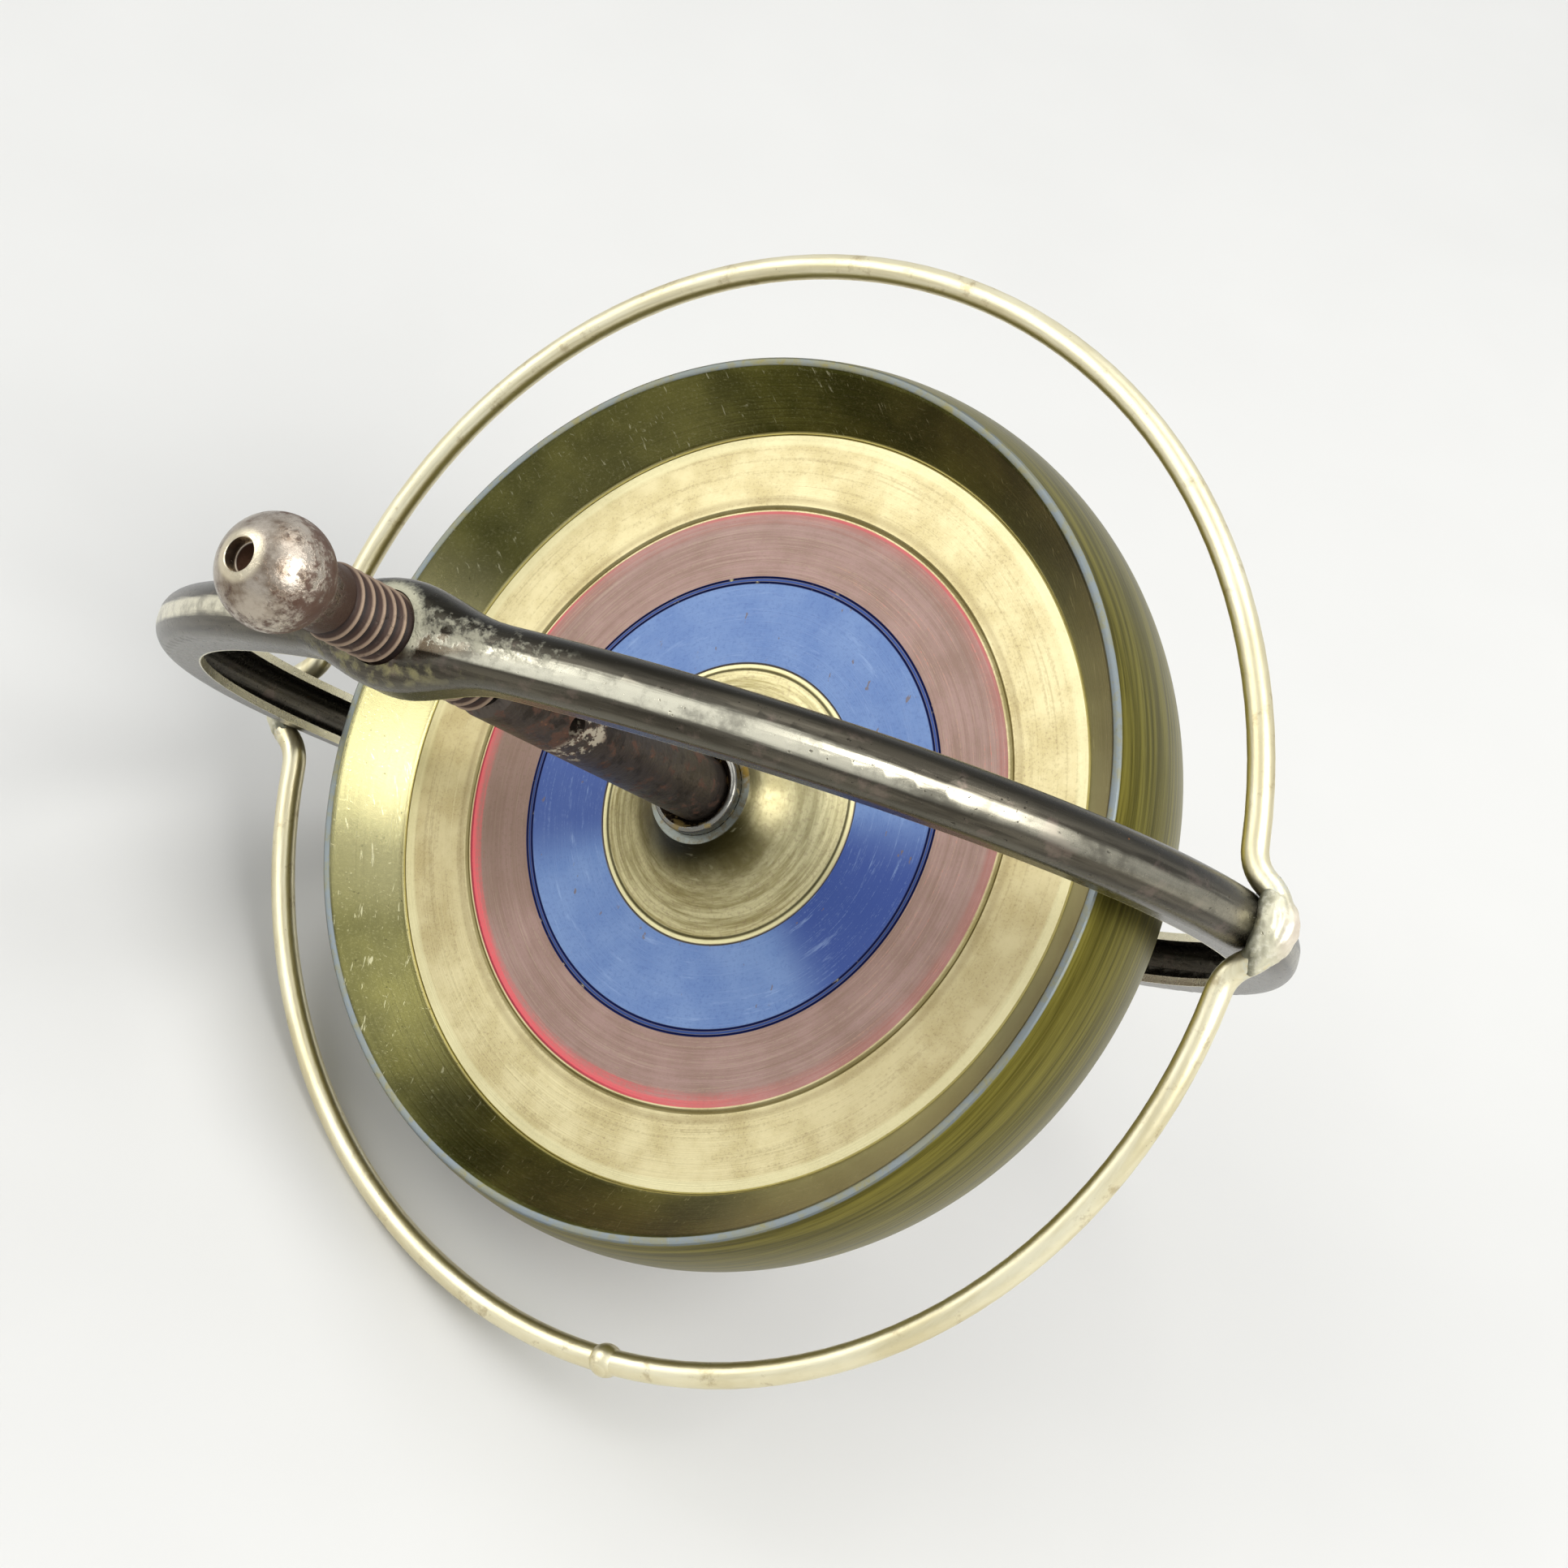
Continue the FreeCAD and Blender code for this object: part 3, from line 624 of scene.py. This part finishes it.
def discFinish():
    finish = DiscFinish()
    look = discSet
    layBrassFace(finish)
    onRed = layRedRing(finish)
    onBlue = layBlueRing(finish)
    layTrumpet(finish)
    painted = onRed * look["redPaint"] + onBlue
    roughness = look["gloss"] + painted * look["paintGloss"] + finish.grain * look["grainGloss"]
    height = finish.lathe * look["lineHeight"] + finish.fine * look["lineHeight"]
    height = height + finish.grain * look["grainHeight"]
    return finish.surface(roughness, 1 - painted * look["paintMetal"], height, look["depth"])


def flare(bend, radius, distance):  # height of the trumpet's curve at a distance from the spindle
    return discSet["face"] + bend - math.sqrt(radius ** 2 - (discSet["foot"] - distance) ** 2)


def makeDisc(name, node, side, material):
    face = discSet["face"]
    back = face - discSet["sheet"]
    hole = discSet["hole"]
    neck = hole + discSet["sheet"]
    foot = discSet["foot"]
    edge = discSet["edge"]
    soft = discSet["edgeRound"]
    bend = ((foot - neck) ** 2 + discSet["rise"] ** 2) / (2 * discSet["rise"])
    steps = discSet["bendSteps"]
    top = []
    under = []
    for step in range(steps + 1):
        share = step / steps
        outer = neck + (foot - neck) * share
        inner = hole + (foot - hole) * share
        top.append((outer, flare(bend, bend, outer)))
        under.append((inner, flare(bend, bend + discSet["sheet"], inner)))
    flat = []
    for middle, half, depth in discSet["grooves"]:
        flat += [(middle - half, face), (middle, face - depth), (middle + half, face)]
    rim = [(edge - soft, face), (edge, face - soft), (edge, back)]
    outline = top + flat + rim + list(reversed(under)) + [(hole, top[0][1]), top[0]]
    form = bmesh.new()
    turned(form, [(radius, side * height + discSet["middle"]) for radius, height in outline],
           discSet["turns"], discSet["sharp"])
    piece = asPiece(form, name, material)
    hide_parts(node)
    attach(piece, "rotor")


hubSet = {
    "steel": rgb(92, 88, 80), "steelLit": rgb(148, 147, 140), "latheLines": (6.0, 1.2),
    "inside": rgb(84, 68, 50), "insideEdge": (2.36, 2.48, 0.85),
    "rust": rgb(150, 126, 56), "rustNoise": (1.1, 4.0), "rusted": (0.55, 0.64), "rustMost": 0.6,
    "gloss": 0.26, "rustGloss": 0.3, "rustMetal": 0.4, "depth": 0.00001,
}


def hubFinish():
    finish = TurnedFinish("hub_steel")
    look = hubSet
    lines = finish.lines(*look["latheLines"])
    finish.colour = finish.mix(lines, look["steel"], look["steelLit"])
    finish.lay(finish.fade(finish.radius, *look["insideEdge"]), look["inside"])
    rust = finish.ease(finish.patches(*look["rustNoise"]), *look["rusted"])
    finish.lay(rust * look["rustMost"], look["rust"])
    roughness = look["gloss"] + rust * look["rustGloss"]
    return finish.surface(roughness, 1 - rust * look["rustMetal"], lines, look["depth"])


spindleSet = {
    "steel": rgb(58, 51, 45), "steelLit": rgb(100, 91, 82), "latheLines": (5.0, 1.2),
    "cloud": (1.1, 6.0, 0.68), "fleck": (3.4, 4.0, 0.7),
    # the string hole and the chipped place beside it: height, reach, from and to
    "hole": 18.9, "holeNear": (2.6, 0.2, 1.6), "chipsMiddle": 17.5, "chipsNear": (1.5, 0.3, 1.0),
    "dirt": rgb(40, 34, 28), "dirtNoise": (0.8, 5.0, 0.7), "dirty": (0.50, 0.62, 0.55),
    "rust": rgb(88, 54, 36), "rustAtHole": 0.07, "rusted": (0.52, 0.64), "rustMost": 0.7,
    "rustPale": rgb(142, 96, 66), "flecked": (0.60, 0.70),
    "chip": rgb(190, 180, 158), "chipShare": 0.35, "chipped": (0.50, 0.55), "chipMost": 0.85,
    "cloudHeight": 0.5, "fleckHeight": 0.4, "lineHeight": 0.25, "chipHeight": 0.3,
    "gloss": 0.38, "rustGloss": 0.22, "metal": 0.75, "rustMetal": 0.4, "depth": 0.00006,
}


def spindleFinish():
    finish = TurnedFinish("spindle_steel")
    look = spindleSet
    lines = finish.lines(*look["latheLines"])
    cloud = finish.patches(*look["cloud"])
    fleck = finish.patches(*look["fleck"])
    finish.colour = finish.mix(lines, look["steel"], look["steelLit"])
    nearHole = finish.near(finish.z - look["hole"], *look["holeNear"])
    nearChips = finish.near(finish.z - look["chipsMiddle"], *look["chipsNear"])
    rust = finish.ease(cloud + nearHole * look["rustAtHole"], *look["rusted"])
    finish.lay(finish.ease(finish.patches(*look["dirtNoise"]), *look["dirty"]), look["dirt"])
    finish.lay(rust * look["rustMost"], look["rust"])
    flecks = finish.ease(fleck, *look["flecked"]) * rust
    finish.lay(flecks * look["rustMost"], look["rustPale"])
    chips = finish.ease(blend(fleck, look["chipShare"], cloud), *look["chipped"]) * nearChips
    finish.lay(chips * look["chipMost"], look["chip"])
    height = cloud * look["cloudHeight"] + fleck * look["fleckHeight"] + lines * look["lineHeight"]
    height = height - chips * look["chipHeight"]
    roughness = look["gloss"] + rust * look["rustGloss"]
    return finish.surface(roughness, look["metal"] - rust * look["rustMetal"], height, look["depth"])


makeRim()
discPaint = discFinish()
makeDisc("front_face", "front_disc", 1, discPaint)
makeDisc("rear_face", "rear_disc", -1, discPaint)
coat("hub_bush", hubFinish())
coat("spindle", spindleFinish())
print("wheel ready")


ringSet = {
    "nickel": rgb(92, 87, 76), "nickelDeep": rgb(64, 60, 52), "nickelMix": (0.36, 0.64),
    "drawnAlong": 5, "drawnAcross": 2.4, "drawn": (1.0, 5.0, 0.62),
    "grain": (5.0, 5.0, 0.7), "cloud": (0.5, 5.0, 0.65),
    "blush": rgb(176, 150, 140), "blushed": (0.55, 0.68, 0.14),
    # a painted highlight along the channel's crown, duller toward the right crossing
    "crown": rgb(232, 226, 202), "crownShift": 0.22, "crownRagged": 0.7, "crownNear": (0.62, 0.15, 1.0),
    "crownRadius": (33.85, 34.0), "crownCloud": (0.35, 0.55, 0.5), "crownLeast": 0.45,
    "crownDulls": (15.0, 30.0, 0.75),
    "shade": rgb(30, 28, 22), "upper": (0.35, 1.25), "shadeMost": 0.85,
    "hollow": rgb(98, 95, 84), "hollowEdge": (33.3, 33.58), "hollowShade": 0.6, "hollowMost": 0.6,
    "lip": rgb(250, 243, 212), "lipHighlightEdge": (31.12, 31.22, 0.85),
    # corrosion near the adjusting screw: heights, then places to the right of it and above it
    "eye": (32.6, 34.0), "patch": (1.3, 5.0, 0.6), "eyeNear": (31.4, 34.2),
    "rightOfEye": (0.5, 2.4), "aboveEye": (-0.6, 0.3), "backOfEye": (0.8, 1.7, 0.8),
    "crustShare": 0.75, "crustNear": 0.10, "crusted": (0.53, 0.66), "crustEdge": (0.1, 0.7),
    "crustMost": 0.75, "rub": rgb(150, 145, 128), "crust": rgb(204, 201, 174),
    "crustYellow": rgb(168, 160, 108), "below": (-1.8, -0.8), "belowPatch": (0.46, 0.68),
    "belowMost": 0.6, "mouthRagged": 0.9, "mouth": (2.1, 2.7), "mouthSide": (0.4, 1.8),
    "mouthMost": 0.85,
    "rust": rgb(190, 112, 52), "rustNoise": (1.2, 3.0), "rusted": (0.74, 0.77, 0.8),
    "pit": rgb(40, 36, 30), "pitNoise": (3.4, 4.0), "pitted": (0.66, 0.73), "pitMost": 0.65,
    "gloss": 0.20, "cloudGloss": 0.08, "grainGloss": 0.06, "dullGloss": 0.4, "dullMetal": 0.7,
    "drawnHeight": 0.22, "dullHeight": 1.6, "pitHeight": 0.6, "depth": 0.00005,
}


def ringFinish():
    finish = Finish("ring_nickel")
    look = ringSet
    x, y, z = finish.x, finish.y, finish.z
    radius = (x * x + z * z + offAxis).root()
    along = look["drawnAlong"]
    drawn = finish.noise(finish.join(x / radius * along, y * look["drawnAcross"], z / radius * along),
                         *look["drawn"])
    grain = finish.patches(*look["grain"])
    cloud = finish.patches(*look["cloud"])
    finish.colour = finish.mix(finish.ease(drawn, *look["nickelMix"]),
                               look["nickel"], look["nickelDeep"])
    finish.lay(finish.ease(cloud, *look["blushed"]), look["blush"])
    # painted highlight along the channel's crown, ragged and patchy
    offCrown = y + look["crownShift"] + swing(drawn, look["crownRagged"])
    crown = finish.near(offCrown, *look["crownNear"]) * finish.ease(radius, *look["crownRadius"])
    crown = crown * (look["crownLeast"] + finish.ease(cloud, *look["crownCloud"]))
    finish.lay(crown * (1 - finish.ease(x, *look["crownDulls"])), look["crown"])
    upper = finish.ease(y, *look["upper"])
    finish.lay(upper * look["shadeMost"], look["shade"])
    hollow = finish.fade(radius, *look["hollowEdge"]) * (1 - upper * look["hollowShade"])
    finish.lay(hollow * look["hollowMost"], look["hollow"])
    # painted highlight along the channel's thin inner edges
    finish.lay(finish.fade(radius, *look["lipHighlightEdge"]), look["lip"])

    # corrosion near the adjusting screw
    eye = finish.ease(z, *look["eye"])
    patch = finish.patches(*look["patch"])
    near = finish.ease(z, *look["eyeNear"]) * finish.ease(x, *look["rightOfEye"])
    near = near * finish.ease(y, *look["aboveEye"])
    near = near * (1 - finish.ease(y, *look["backOfEye"]))
    crusted = blend(patch, look["crustShare"], grain) + near * look["crustNear"]
    crusted = finish.ease(crusted, *look["crusted"]) * finish.ease(near, *look["crustEdge"])
    finish.lay(crusted * look["crustMost"], finish.mix(grain, look["rub"], look["crust"]))
    below = eye * finish.fade(y, *look["below"]) * finish.ease(patch, *look["belowPatch"])
    finish.lay(below * look["belowMost"], look["crustYellow"])
    toScrew = (x * x + y * y).root() + swing(grain, look["mouthRagged"])
    mouth = eye * finish.fade(toScrew, *look["mouth"]) * finish.ease(y + x, *look["mouthSide"])
    finish.lay(mouth * look["mouthMost"], look["crust"])

    finish.lay(finish.ease(finish.patches(*look["rustNoise"]), *look["rusted"]), look["rust"])
    pits = finish.ease(finish.patches(*look["pitNoise"]), *look["pitted"])
    finish.lay(pits * look["pitMost"], look["pit"])
    dull = crusted + mouth + below
    roughness = look["gloss"] + cloud * look["cloudGloss"] + grain * look["grainGloss"]
    roughness = roughness + dull * look["dullGloss"]
    height = drawn * look["drawnHeight"] + dull * look["dullHeight"] * grain
    height = height - pits * look["pitHeight"]
    return finish.surface(roughness, 1 - dull * look["dullMetal"], height, look["depth"])


wireSet = {
    "nickel": rgb(236, 228, 196), "yellowed": rgb(212, 200, 160), "nickelMix": (0.3, 0.7),
    "drawnAlong": 4, "drawnAcross": 1.6, "drawn": (1.0, 5.0, 0.6),
    "grain": (4.0, 4.0, 0.7), "cloud": (0.6, 5.0, 0.7),
    "stain": rgb(158, 136, 92), "stained": (0.56, 0.70, 0.5),
    "crossing": rgb(206, 214, 214), "crossingRadius": (33.6, 34.3), "crossingGrain": (0.4, 0.6),
    "crossingMost": 0.5, "speck": rgb(104, 88, 58), "specks": (0.68, 0.73, 0.55),
    "gloss": 0.24, "cloudGloss": 0.14, "grainGloss": 0.08, "drawnHeight": 0.4,
    "grainHeight": 0.3, "depth": 0.000025,
}


def wireFinish():
    finish = Finish("wire_nickel")
    look = wireSet
    x, y, z = finish.x, finish.y, finish.z
    radius = (x * x + y * y + offAxis).root()
    along = look["drawnAlong"]
    across = look["drawnAcross"]
    drawn = finish.noise(finish.join(x / radius * along, y / radius * along,
                                     z * across + radius * across), *look["drawn"])
    grain = finish.patches(*look["grain"])
    cloud = finish.patches(*look["cloud"])
    finish.colour = finish.mix(finish.ease(drawn, *look["nickelMix"]), look["nickel"], look["yellowed"])
    finish.lay(finish.ease(cloud, *look["stained"]), look["stain"])
    crossing = finish.ease(radius, *look["crossingRadius"]) * finish.ease(grain, *look["crossingGrain"])
    finish.lay(crossing * look["crossingMost"], look["crossing"])
    finish.lay(finish.ease(grain, *look["specks"]), look["speck"])
    roughness = look["gloss"] + cloud * look["cloudGloss"] + grain * look["grainGloss"]
    height = drawn * look["drawnHeight"] + grain * look["grainHeight"]
    return finish.surface(roughness, 1.0, height, look["depth"])


solderSet = {
    # shape in millimetres
    "reach": 34.55, "across": 1.42, "alongWire": 2.7, "alongRing": 1.30, "detail": 5,
    "waist": 0.35, "taper": 1.5, "droop": 1.5, "droopReach": 0.8,
    "roughness": 0.14, "seed": 3.7, "swell": 1.8, "ripple": 5.0, "rippleShare": 0.4,
    "stripHalf": 1.5, "stripMiddle": 33.8,
    "metal": rgb(218, 213, 186), "metalDeep": rgb(196, 191, 164), "metalMix": (0.35, 0.65),
    "grain": (2.4, 5.0, 0.65), "cloud": (0.8, 4.0),
    "pale": rgb(234, 230, 212), "paler": (0.50, 0.66, 0.5),
    # squares of the distance from the spindle
    "outer": rgb(226, 206, 196), "outwardHighlight": (1225.0, 1310.0, 0.5),
    "corroded": rgb(52, 54, 38), "raggedGrain": 60, "inward": (1150.0, 1210.0, 0.8),
    "pit": rgb(96, 88, 62), "pitNoise": (3.0, 3.0), "pitted": (0.66, 0.76), "pitMost": 0.5,
    "gloss": 0.34, "grainGloss": 0.15, "metallic": 0.5, "grainHeight": 0.6, "pitHeight": 0.5,
    "depth": 0.00006,
}


def solderFinish():
    finish = Finish("solder")
    look = solderSet
    grain = finish.patches(*look["grain"])
    cloud = finish.patches(*look["cloud"])
    finish.colour = finish.mix(finish.ease(cloud, *look["metalMix"]), look["metal"], look["metalDeep"])
    finish.lay(finish.ease(grain, *look["paler"]), look["pale"])
    # painted highlight, pinkish, on the outward end of each joint
    finish.lay(finish.ease(finish.x * finish.x, *look["outwardHighlight"]), look["outer"])
    ragged = finish.x * finish.x + swing(grain, look["raggedGrain"])
    finish.lay(finish.fade(ragged, *look["inward"]), look["corroded"])
    pits = finish.ease(finish.patches(*look["pitNoise"]), *look["pitted"])
    finish.lay(pits * look["pitMost"], look["pit"])
    height = grain * look["grainHeight"] - pits * look["pitHeight"]
    roughness = look["gloss"] + grain * look["grainGloss"]
    return finish.surface(roughness, look["metallic"], height, look["depth"])


def makeSolder(name, node, side, material):
    form = bmesh.new()
    bmesh.ops.create_icosphere(form, subdivisions=solderSet["detail"], radius=1.0)
    for vert in form.verts:
        ripple = noise.noise(vert.co * solderSet["swell"] + Vector((solderSet["seed"] * side, 0, 0)))
        ripple += solderSet["rippleShare"] * noise.noise(vert.co * solderSet["ripple"])
        swell = 1 + solderSet["roughness"] * ripple
        thin = 1 - solderSet["waist"] * abs(vert.co.y) ** solderSet["taper"]
        x = vert.co.x * solderSet["across"] * thin * swell
        y = vert.co.y * solderSet["alongWire"] * swell
        z = vert.co.z * solderSet["alongRing"] * thin * swell
        level = max(0.0, 1 - (vert.co.y * solderSet["droopReach"]) ** 2)
        reach = solderSet["reach"] + x - solderSet["droop"] * (1 - math.sqrt(level))
        if abs(y) < solderSet["stripHalf"]:  # ends within the strip, not in the channel's hollow
            reach = max(reach, math.sqrt(solderSet["stripMiddle"] ** 2 - z ** 2))
        vert.co = Vector((side * reach, y, z))
    bmesh.ops.recalc_face_normals(form, faces=form.faces)
    piece = asPiece(form, name, material)
    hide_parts(node)
    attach(piece, "frame")


coat("frame_ring", ringFinish())
coat("wire_hoop", wireFinish())
solder = solderFinish()
makeSolder("right_solder", "solder_joint_right", 1, solder)
makeSolder("left_solder", "solder_joint_left", -1, solder)
print("frame ready")


screwSet = {
    # shape in millimetres, with heights from the middle of the gyroscope
    "ball": 2.826, "ballHeight": 42.24, "dimpleRadius": 0.83, "dimpleDepth": 0.9, "point": 0.35,
    "shank": 1.9, "root": 1.48, "neckRadius": 1.76, "neckLength": 0.1, "insideRoot": 0.02,
    "pitch": 0.84, "threadTop": 38.4, "threadEnd": 25.75, "run": 0.5, "soft": 0.05,
    # one turn of the thread: how soft root and crest are, and where along the pitch each point is
    "rootSoft": 0.03, "crestSoft": 0.05, "flanks": (0.12, 0.33, 0.39, 0.45, 0.51, 0.72),
    "cupLip": 0.12, "cupDepth": 1.04, "levelWithin": 0.001,
    "turnSteps": 72, "ballTurns": 120, "arcSteps": 44, "ballSharp": 30.0, "threadSharp": 50.0,
    "grain": (2.6, 5.0, 0.7), "cloud": (0.55, 5.0, 0.65),
    "bright": rgb(178, 167, 152), "dull": rgb(116, 100, 84), "dullMix": (0.38, 0.66),
    "rust": rgb(50, 28, 19), "rustLight": rgb(88, 55, 38), "rustShare": 0.45, "rusted": (0.55, 0.67),
    "rustMost": 0.85, "threadZone": (38.2, 40.2), "threadRust": 0.10,
    "darkerOutward": (1.9, 2.83, 0.09), "darkerLow": (41.2, 43.8, 0.10),
    "threadStarts": (20.0, 24.0), "threadSide": rgb(50, 32, 24), "sideMost": 0.8,
    "threadTip": rgb(158, 136, 114), "tipRadius": (1.76, 1.86), "tipWorn": (0.30, 0.50), "tipMost": 0.8,
    "threadRoot": rgb(22, 14, 10), "rootRadius": (1.54, 1.74), "rootMost": 0.85,
    "dimpleRing": rgb(224, 212, 184), "crownHeight": (44.3, 44.7), "ringRadius": (1.45, 1.10),
    "ringMost": 0.8, "dimple": rgb(44, 30, 22), "dimpleHeight": (40.0, 42.0),
    "dimpleWall": (0.82, 0.74), "neck": rgb(60, 41, 29), "neckZone": (38.3, 40.0, 0.3, 0.75),
    "gloss": 0.22, "rustGloss": 0.3, "grainGloss": 0.08, "rustMetal": 0.5,
    "grainHeight": 0.6, "rustHeight": 0.4, "depth": 0.00005,
}


def screwFinish():
    finish = TurnedFinish("screw_steel")
    look = screwSet
    radius = finish.radius
    grain = finish.patches(*look["grain"])
    cloud = finish.patches(*look["cloud"])
    finish.colour = finish.mix(finish.ease(cloud, *look["dullMix"]), look["bright"], look["dull"])
    onThread = finish.fade(finish.z, *look["threadZone"])
    # the ball turns darker brown toward its widest part and lower down, through the same mask as the
    # rust
    edge = finish.ease(radius, *look["darkerOutward"]) + finish.fade(finish.z, *look["darkerLow"])
    rust = blend(grain, look["rustShare"], cloud) + onThread * look["threadRust"] + edge
    rust = finish.ease(rust, *look["rusted"])
    finish.lay(rust * look["rustMost"], finish.mix(grain, look["rust"], look["rustLight"]))
    threaded = onThread * finish.ease(finish.z, *look["threadStarts"])
    finish.lay(threaded * look["sideMost"], look["threadSide"])
    tips = finish.ease(radius, *look["tipRadius"]) * threaded * finish.ease(cloud, *look["tipWorn"])
    finish.lay(tips * look["tipMost"], look["threadTip"])
    roots = finish.fade(radius, *look["rootRadius"]) * threaded
    finish.lay(roots * look["rootMost"], look["threadRoot"])
    crown = finish.ease(finish.z, *look["crownHeight"]) * finish.ease(radius, *look["ringRadius"])
    finish.lay(crown * look["ringMost"], look["dimpleRing"])
    dimple = finish.ease(finish.z, *look["dimpleHeight"]) * finish.ease(radius, *look["dimpleWall"])
    finish.lay(dimple, look["dimple"])
    finish.lay(finish.band(finish.z, *look["neckZone"]), look["neck"])
    roughness = look["gloss"] + rust * look["rustGloss"] + grain * look["grainGloss"]
    height = grain * look["grainHeight"] + rust * look["rustHeight"]
    return finish.surface(roughness, 1 - rust * look["rustMetal"], height, look["depth"])


def headOutline():  # from the dimple's point over the ball to the neck
    ball = screwSet["ball"]
    middle = screwSet["ballHeight"]
    dimple = screwSet["dimpleRadius"]
    soft = screwSet["soft"]
    steps = screwSet["arcSteps"]
    bottom = middle + ball - screwSet["dimpleDepth"]
    start = math.asin((dimple + soft) / ball)
    end = math.pi - math.asin(screwSet["neckRadius"] / ball)
    outline = [(0.0, bottom - screwSet["point"]), (dimple, bottom),
               (dimple, middle + ball * math.cos(start) - soft)]
    for step in range(steps + 1):
        angle = start + (end - start) * step / steps
        outline.append((ball * math.sin(angle), middle + ball * math.cos(angle)))
    return outline


def makeHead():
    form = bmesh.new()
    threadTop = screwSet["threadTop"]
    inside = threadTop - screwSet["run"]
    neck = [(screwSet["neckRadius"], threadTop + screwSet["neckLength"]),
            (screwSet["root"] - screwSet["insideRoot"], inside), (0.0, inside)]
    turned(form, headOutline() + neck, screwSet["ballTurns"], screwSet["ballSharp"])
    return form


def threadProfile():  # one turn in section, as (radius, place along the pitch)
    root = screwSet["root"]
    crest = screwSet["shank"]
    foot = root + screwSet["rootSoft"]
    shoulder = crest - screwSet["crestSoft"]
    radii = (foot, shoulder, crest, crest, shoulder, foot)
    return [(root, 0.0), *zip(radii, screwSet["flanks"]), (root, screwSet["pitch"])]


def makeThread():  # a helix of one thread profile, cut level at both ends
    pitch = screwSet["pitch"]
    bottom = screwSet["threadEnd"]
    top = screwSet["threadTop"]
    turnSteps = screwSet["turnSteps"]
    turns = math.ceil((top - bottom) / pitch) + 2
    form = bmesh.new()
    start = bottom - pitch
    corners = [form.verts.new((radius, 0, start + height)) for radius, height in threadProfile()]
    edges = [form.edges.new(pair) for pair in zip(corners, corners[1:])]
    bmesh.ops.spin(form, geom=corners + edges, cent=(0, 0, 0), axis=(0, 0, 1),
                   dvec=(0, 0, pitch / turnSteps), angle=math.tau * turns, steps=turnSteps * turns)
    bmesh.ops.remove_doubles(form, verts=form.verts, dist=mergeWithin)
    for level, side in ((bottom, -1), (top, 1)):
        everything = list(form.verts) + list(form.edges) + list(form.faces)
        bmesh.ops.bisect_plane(form, geom=everything, plane_co=(0, 0, level), plane_no=(0, 0, side),
                               clear_outer=True)
    makeCup(form, closeEnd(form, bottom))
    closeEnd(form, top)
    bmesh.ops.recalc_face_normals(form, faces=form.faces)
    markSharp(form, screwSet["threadSharp"])
    return form


def closeEnd(form, level):  # a flat face over the open end at this height
    rimEdges = [edge for edge in form.edges if len(edge.link_faces) == 1
                and all(abs(vert.co.z - level) < screwSet["levelWithin"] for vert in edge.verts)]
    return bmesh.ops.contextual_create(form, geom=rimEdges)["faces"]


def makeCup(form, faces):  # the cup for the spindle's pivot, inside a narrow lip
    bmesh.ops.inset_region(form, faces=faces, thickness=screwSet["cupLip"])
    for vert in bmesh.ops.poke(form, faces=faces)["verts"]:
        vert.co = Vector((0, 0, screwSet["threadEnd"] + screwSet["cupDepth"]))


def makeScrew(material):
    form = makeHead()
    thread = makeThread()
    mesh = bpy.data.meshes.new("thread")
    thread.to_mesh(mesh)
    thread.free()
    form.from_mesh(mesh)
    bpy.data.meshes.remove(mesh)
    piece = asPiece(form, "threaded_ball_screw", material)
    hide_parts("adjusting_screw")
    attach(piece, "screw")


bushSet = {
    "brass": rgb(84, 74, 40), "brassLit": rgb(138, 122, 70), "grain": (2.0, 4.0, 0.6),
    "gloss": 0.42, "grainGloss": 0.1, "metal": 0.95, "depth": 0.00004,
}


def bushFinish():
    finish = Finish("bush_brass")
    grain = finish.patches(*bushSet["grain"])
    finish.colour = finish.mix(grain, bushSet["brass"], bushSet["brassLit"])
    roughness = bushSet["gloss"] + grain * bushSet["grainGloss"]
    return finish.surface(roughness, bushSet["metal"], grain, bushSet["depth"])


screwSteel = screwFinish()
makeScrew(screwSteel)
coat("ball_foot", screwSteel)
bushBrass = bushFinish()
coat("upper_bush", bushBrass)
coat("lower_bush", bushBrass)
print("screw and foot ready")

bpy.context.scene.view_settings.view_transform = "Standard"
